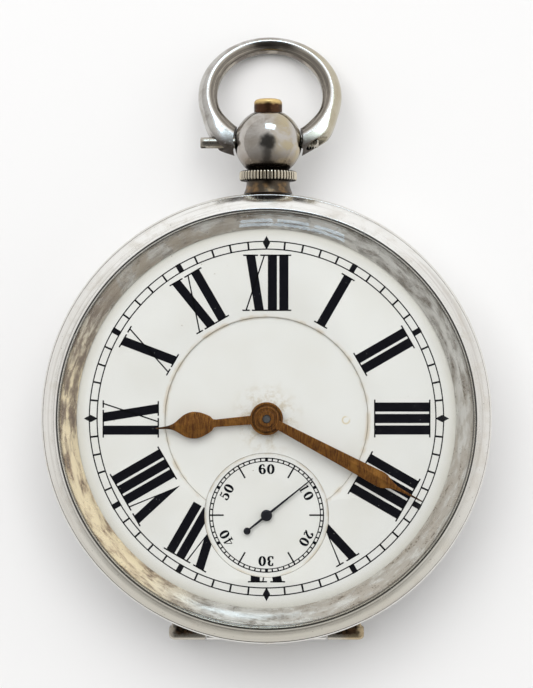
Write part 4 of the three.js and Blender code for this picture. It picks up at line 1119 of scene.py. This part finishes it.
def numeral(text, degrees):
    """A Roman numeral's polygons, its feet towards the centre of the dial."""
    width = sum(GLYPH_WIDTH[letter] for letter in text) + GAP * (len(text) - 1)
    x = -width / 2
    shapes, ends = [], {0: [], 1: []}
    for letter in text:
        strokes, serifs = glyph(letter, x)
        shapes += strokes
        for start, length, end in serifs:
            ends[end].append((start - SERIF, start + length + SERIF))
        x += GLYPH_WIDTH[letter] + GAP
    height = NUMERAL_OUT - NUMERAL_IN
    polygons = [[(px, NUMERAL_OUT - py * height) for px, py in shape] for shape in shapes]
    for end, spans in ends.items():
        y = NUMERAL_OUT - end * height
        for start, stop in joined_spans(spans):
            polygons.append(bar(start, stop, y - HAIR / 2, y + HAIR / 2))
    return [turned_by(polygon, -math.radians(degrees)) for polygon in polygons]


def outside_circle(polygon, centre, radius):
    """The part of a polygon outside a circle that it enters once, or None if nothing is left."""
    middle_point = Vector(centre)
    corners = [Vector(p) for p in polygon]
    if all((p - middle_point).length < radius for p in corners):
        return None
    kept, exits = [], []
    for p, q in zip(corners, corners[1:] + corners[:1]):
        if (p - middle_point).length >= radius:
            kept.append(p)
        step, start = q - p, p - middle_point
        a, b, c = step.dot(step), 2 * step.dot(start), start.dot(start) - radius * radius
        root = b * b - 4 * a * c
        if root <= 0:
            continue
        for t in sorted(((-b - math.sqrt(root)) / (2 * a), (-b + math.sqrt(root)) / (2 * a))):
            if 0 < t < 1:
                kept.append(p + step * t)
                exits.append(len(kept) - 1)
    if len(exits) != 2:
        return [tuple(p) for p in kept]
    first, second = exits
    if second - first > 1:
        kept = kept[second:] + kept[:first + 1]
    else:
        kept = kept[second:] + kept[:second]
    end, start = kept[-1] - middle_point, kept[0] - middle_point
    turn = end.angle_signed(start)
    bridge = [Matrix.Rotation(-turn * k / 8, 2) @ end + middle_point for k in range(1, 8)]
    return [tuple(p) for p in kept + bridge]


def ring_polygons(radius, width, centre=(0, 0), sides=ROUND):
    """A thin circle's inner and outer outlines."""
    return circle(radius - width / 2, sides, centre), circle(radius + width / 2, sides, centre)


def raised(name, polygons, base, rings):
    """Thin prisms and rings standing PRINT high on a base, as one mesh."""
    vertices, faces = [], []
    for polygon in polygons:
        start, count = len(vertices), len(polygon)
        vertices += [(x, y, base - PRINT_SUNK) for x, y in polygon]
        vertices += [(x, y, base + PRINT) for x, y in polygon]
        faces.append(list(range(start, start + count)))
        faces.append(list(range(start + count, start + 2 * count)))
        faces += [[start + k, start + (k + 1) % count, start + count + (k + 1) % count, start + count + k]
                  for k in range(count)]
    span = (base - PRINT_SUNK, base + PRINT)
    circles = [plate("ring", outer, span, [inner]) for inner, outer in rings]
    return join(name, [object_from(name, vertices, faces), *circles])


def mark(degrees, inner, outer, width, centre=(0, 0)):
    """A radial tick as a polygon."""
    half = width / 2
    points = [(-half, inner), (half, inner), (half, outer), (-half, outer)]
    return [(x + centre[0], y + centre[1]) for x, y in turned_by(points, -math.radians(degrees))]


def headings(line):
    """A line's direction at each of its points."""
    knots = [Vector(point) for point in (line[0], *line, line[-1])]
    return [(ahead - back).normalized() for back, ahead in zip(knots, knots[2:])]


def ribbon(line, width):
    """A stroke of even or changing width along a line."""
    widths = width if isinstance(width, list) else [width] * len(line)
    left, right = [], []
    for point, along, wide in zip(line, headings(line), widths):
        side = Vector((-along.y, along.x)) * wide / 2
        left.append(tuple(Vector(point) + side))
        right.append(tuple(Vector(point) - side))
    return left + right[::-1]


def swelling(line, thin, thick):
    """A pen stroke that is thick where it runs up and down and thin where it runs across."""
    return ribbon(line, [thin + (thick - thin) * abs(along.y) ** 1.6 for along in headings(line)])


def bowl(*shape):
    """A digit's round stroke along part of an oval."""
    return swelling(oval(*shape), *DIGIT_PEN)


def dot(x, y, radius=0.085):
    """The ball that ends a digit's curve."""
    return oval(x, y, radius, radius, 0, 330, 10)


def digit(number):
    """A digit one unit tall about its own middle, as polygons."""
    if number == 0:
        return [bowl(0, 0, 0.27, 0.45, 90, 270), bowl(0, 0, 0.27, 0.45, -90, 90)]
    if number == 1:
        stem = [(-0.09, -0.48), (0.09, -0.48), (0.09, 0.5), (-0.02, 0.5), (-0.09, 0.42)]
        return [stem, bar(-0.24, 0.24, -0.5, -0.43), ribbon([(-0.24, 0.34), (-0.05, 0.46)], 0.07)]
    if number == 2:
        neck = oval(0, 0.2, 0.24, 0.25, 170, -30) + [(0.05, -0.16), (-0.24, -0.43)]
        foot = [(-0.28, -0.44), (-0.1, -0.36), (0.08, -0.44), (0.27, -0.36)]
        return [swelling(neck, *DIGIT_PEN), ribbon(foot, 0.13), dot(-0.2, 0.24, 0.09)]
    if number == 3:
        return [
            bowl(-0.02, 0.22, 0.22, 0.24, 150, -80), bowl(-0.02, -0.22, 0.26, 0.25, 85, -150),
            dot(-0.2, 0.28), dot(-0.22, -0.28),
        ]
    if number == 4:
        return [
            bar(0.06, 0.24, -0.48, 0.5), ribbon([(0.13, 0.48), (-0.33, -0.18)], 0.07),
            ribbon([(-0.34, -0.19), (0.36, -0.19)], 0.075), bar(-0.06, 0.36, -0.5, -0.43),
        ]
    if number == 5:
        return [
            ribbon([(-0.19, 0.46), (-0.19, 0.02)], 0.07),
            ribbon([(-0.2, 0.43), (0.02, 0.38), (0.22, 0.46)], 0.13),
            bowl(-0.03, -0.17, 0.28, 0.29, 130, -150), dot(-0.24, -0.26),
        ]
    return [bowl(0.04, 0, 0.3, 0.46, 60, 270), bowl(0.02, -0.19, 0.24, 0.27, 140, -90), dot(0.2, 0.32)]


def seconds_figures():
    figure_r, height = 5.5, 1.17
    shapes = []
    for seconds in range(10, 61, 10):
        degrees = seconds * 6
        for place, number in ((-0.46, seconds // 10), (0.46, 0)):
            for polygon in digit(number):
                local = [((x + place) * height * 0.95, y * height + figure_r) for x, y in polygon]
                shapes.append([(x, y + SECONDS_AT[1]) for x, y in turned_by(local, -math.radians(degrees))])
    return shapes


def make_print():
    numerals = ["XII", "I", "II", "III", "IIII", "V", "VI", "VII", "VIII", "IX", "X", "XI"]
    shapes = []
    for hour, text in enumerate(numerals):
        for polygon in numeral(text, hour * 30):
            shapes.append(outside_circle(polygon, SECONDS_AT, PRINT_CLEAR_R))
    shapes = [shape for shape in shapes if shape and len(shape) > 2]
    track_in, track_out = 20.24, 21.16
    for minute in range(60):
        degrees = minute * 6
        if minute % 15 == 0:
            diamond = [(0, 20.15), (0.44, 21.0), (0, 21.82), (-0.44, 21.0)]
            shapes.append(turned_by(diamond, -math.radians(degrees)))
        elif minute % 5 == 0:
            shapes.append(mark(degrees, track_in - 0.08, track_out + 0.1, 0.66))
        else:
            shapes.append(mark(degrees, track_in, track_out, 0.22))
    rings = [ring_polygons(track_in, 0.14), ring_polygons(track_out, 0.14)]
    dress(raised("hour_numerals", shapes, DIAL_TOP, rings), BLACK_PRINT, "case", "black_steel", sharp=20)
    centre = SECONDS_AT
    small = seconds_figures()
    for second in range(60):
        degrees = second * 6
        if second % 10 == 0:
            small.append(mark(degrees, 6.42, 6.86, 0.36, centre))
        elif second % 5 == 0:
            small.append(mark(degrees, 5.12, 6.8, 0.19, centre))
        else:
            small.append(mark(degrees, 6.47, 6.8, 0.16, centre))
    rings = [ring_polygons(6.45, 0.11, centre, 144), ring_polygons(6.82, 0.13, centre, 144)]
    dress(raised("seconds_numerals", small, SECONDS_TOP, rings), BLACK_PRINT, "case", "black_steel", sharp=20)


# ---- hands ----

def make_rusty_hand(body, angle, reach, halves, span, edge, boss):
    """A blade from its half widths along +Y, on a turned boss, at its angle on the dial."""
    blade = soften(plate("blade", mirrored(halves), span), edge, 2)
    hand = combine(blade, "UNION", lathe("boss", rounded(boss), 96))
    dress(move(hand, angle), rusty_gilt(angle, reach), body, "rusty_hands", body + "_hand")


def make_hour_hand():
    reach = 13.28
    stem = [(0.9, 0.55), (3.5, 0.5), (6.0, 0.45), (6.35, 0.5)]
    spade = flowing([
        (6.6, 0.85), (7.1, 1.14), (7.9, 1.48), (8.8, 1.6), (9.7, 1.36), (10.4, 0.9), (11.1, 0.42),
        (11.8, 0.2), (12.6, 0.12), (reach, 0.07),
    ], 4)
    boss = [
        (1.2, 11.96), (1.97, 11.96, 0.05), (1.97, 12.4, 0.1), (1.72, 12.44, 0.04), (1.66, 12.34, 0.03),
        (1.2, 12.36),
    ]
    make_rusty_hand("hour", HOUR_ANGLE, reach, [*stem, *spade], (12.0, 12.3), 0.07, boss)


def make_minute_hand():
    blade = flowing([(0.6, 0.5), (5, 0.63), (10, 0.78), (15.4, 0.95)], 3)
    tip = flowing([(15.9, 0.86), (16.4, 0.62), (17.0, 0.38), (17.8, 0.22), (19.4, 0.13), (20.95, 0.08)], 4)
    boss = [
        (0.8, 12.66), (1.48, 12.66, 0.05), (1.48, 13.06, 0.08), (1.3, 13.12, 0.04), (1.24, 13.04, 0.03),
        (1.0, 13.06, 0.03), (0.94, 13.3, 0.06), (0.86, 13.38, 0.05), (0.5, 13.38, 0.03), (0.5, 13.32),
        (0.8, 13.32),
    ]
    make_rusty_hand("minute", MINUTE_ANGLE, 21.2, [*blade, *tip], (12.76, 13.0), 0.06, boss)


def make_seconds_hand():
    needle = plate("needle", mirrored([(-2.95, 0.1), (0, 0.15), (7.04, 0.055)]), (11.45, 11.59))
    tail = plate("tail", circle(0.42, 40, (0, -2.98)), (11.45, 11.595))
    boss = lathe("boss", rounded([
        (0.24, 11.36), (0.68, 11.36, 0.04), (0.68, 11.64, 0.1), (0.5, 11.72, 0.06), (0, 11.75), (0, 11.66),
        (0.24, 11.66),
    ]), 64)
    hand = combine(needle, "UNION", tail, boss)
    soften(hand, 0.025, 1, 50)
    move(hand, SECOND_ANGLE, (*SECONDS_AT, 0))
    dress(hand, black_steel(), "seconds", "black_steel", "seconds_hand")


# ---- movement: the frame's own solids, with their finishes ----

def finish_movement():
    """Gives the frame's pieces their finishes. Turned pieces are listed with their steel core's radius."""
    frosted = gilt("gilt_frosted")
    gold = ["pillar_1", "pillar_2", "pillar_3", "main_plate", "train_plate", "pallet_cock", "balance_cock"]
    blue = ["lock_spring", "fly_spring", "hairspring", "cock_screw", "case_screw_1", "case_screw_2",
            "plate_screw_1", "plate_screw_2", "plate_screw_3"]
    bright = ["mainspring", "click_spring", "click", "escape_wheel", "cannon_pinion", "pallet_lever",
              "balance_staff", "regulator"]
    turned = {"barrel": 0, "barrel_cover": 0, "centre_wheel": 1.38, "third_wheel": 0.88, "fourth_wheel": 0.82,
              "minute_wheel": 0, "hour_wheel": 0, "balance_wheel": 0}
    for look, names in ((frosted, gold), (BLUED, blue), (STEEL, bright)):
        for name in names:
            keep(name, look)
    for name, core in turned.items():
        keep(name, gilt("gilt_" + name, centre_of(name), core))
    for name in ("ratchet_wheel", "barrel_arbor"):
        look = steel("steel_" + name, (0.62, 0.62, 0.63), (0.5, 0.5, 0.51), (0.12, 0.26), centre_of(name))
        keep(name, look)
    keep("balance_endstone", ruby())


def keep(name, look):
    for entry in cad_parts[name].material_slots:
        entry.material = look


# ---- stage, in metres ----

def make_floor():
    """Pale paper, with painted shade far off towards 6 o'clock. It is clear from below, and right under the
    watch clear to all but camera rays.
    """
    half, below, under_watch = 2.5, 0.00002, 26
    mesh = bpy.data.meshes.new("floor")
    corners = [(-half, -half, 0), (half, -half, 0), (half, half, 0), (-half, half, 0)]
    mesh.from_pydata(corners, [], [(0, 1, 2, 3)])
    floor = new_object("floor", mesh)
    floor.location.z = -below
    n, place = material("paper")
    # painted shade: the paper darker far off towards 6 o'clock
    far = n.times(n.between(n.radius(place), 60, 220), n.between(n.towards(place, 185), 0.2, 1))
    white = n.add("BsdfDiffuse", {"Color": n.mix(far, (0.84, 0.84, 0.845), (0.36, 0.36, 0.36))})
    clear = n.add("BsdfTransparent")
    unseen = n.minus(1, n.add("LightPath").outputs["Is Camera Ray"])
    under = n.times(n.math("LESS_THAN", n.radius(place), under_watch), unseen)
    behind = n.most(n.add("NewGeometry").outputs["Backfacing"], under)
    mesh.materials.append(n.out(n.add("MixShader", {0: behind, 1: white.outputs[0], 2: clear.outputs[0]})))


def area_light(name, at, target, size, power, colour):
    data = bpy.data.lights.new(name, "AREA")
    data.shape = "RECTANGLE"
    data.size, data.size_y = size
    data.energy = power
    data.color = colour
    lamp = new_object(name, data)
    lamp.location = at
    lamp.rotation_mode = "QUATERNION"
    lamp.rotation_quaternion = (Vector(target) - Vector(at)).to_track_quat("-Z", "Y")
    lamp.visible_camera = False
    return lamp


def make_lights():
    middle_point = (0, 0.008, 0.008)
    soft = area_light("soft_top", (-0.10, 0.38, 0.86), middle_point, (1.0, 0.8), 7.6, (1, 0.995, 0.985))
    soft.visible_glossy = False
    distance, pane_size, sky_blue = 0.6, (0.088, 0.078), (0.58, 0.8, 1)
    for i, azimuth in enumerate((-3, 8, 19)):
        for k, elevation in enumerate((29, 38.5)):
            out, up = polar(distance, elevation)
            at = (*clock(out, azimuth), up)
            pane = area_light(f"window_{i}_{k}", at, middle_point, pane_size, 0.1, sky_blue)
            pane.visible_diffuse = False
    n = Nodes(bpy.data.worlds.new("studio"))
    direction = n.add("TexCoord").outputs["Generated"]
    x, y, height = n.split(direction)
    level = n.plus(0.64, n.times(n.between(n.towards(direction, 40), -0.4, 1), 0.32))
    level = n.minus(level, n.times(n.between(n.towards(direction, 195), 0.3, 1), 0.22))
    uneven = n.times(n.minus(n.noise(direction, 3.5, 3), 0.3), 0.3)
    overhead = n.between(n.plus(height, uneven), 0.84, 1.04)
    figure = n.times(n.between(n.size(n.plus(x, uneven)), 0.36, 0.1), n.between(y, 0.12, -0.08))
    figure = n.times(figure, n.between(height, 0.2, 0.4))
    level = n.blend(n.most(overhead, n.times(figure, 0.8)), level, 0.06)
    sky = n.add("Background", {"Color": (1, 0.995, 0.985, 1), "Strength": level})
    bpy.context.scene.world = n.out(sky, "OutputWorld")


def make_camera():
    """Straight above the watch. The frame's long side covers that field at the dial's height."""
    height, dial_height, field = 0.292, 0.012, 0.082
    data = bpy.data.cameras.new("camera")
    data.sensor_width = 36
    data.lens = data.sensor_width * (height - dial_height) / field
    data.clip_start, data.clip_end = 0.01, 10
    camera = new_object("camera", data)
    camera.location = (0, 0.0089, height)
    bpy.context.scene.camera = camera


# ---- the watch ----

BLACK_PRINT = black_print()

make_camera()
make_band()
make_bezel()
make_crystal()
make_back_cover()
make_cuvette()
make_hinge_pin()
make_pendant()
make_collar()
make_push_piece()
make_bow()
make_bow_screw()
make_dial()
make_print()
make_hour_hand()
make_minute_hand()
make_seconds_hand()
finish_movement()
make_floor()
make_lights()

bpy.context.scene.view_settings.view_transform = "Standard"
bpy.context.scene.view_settings.look = "None"
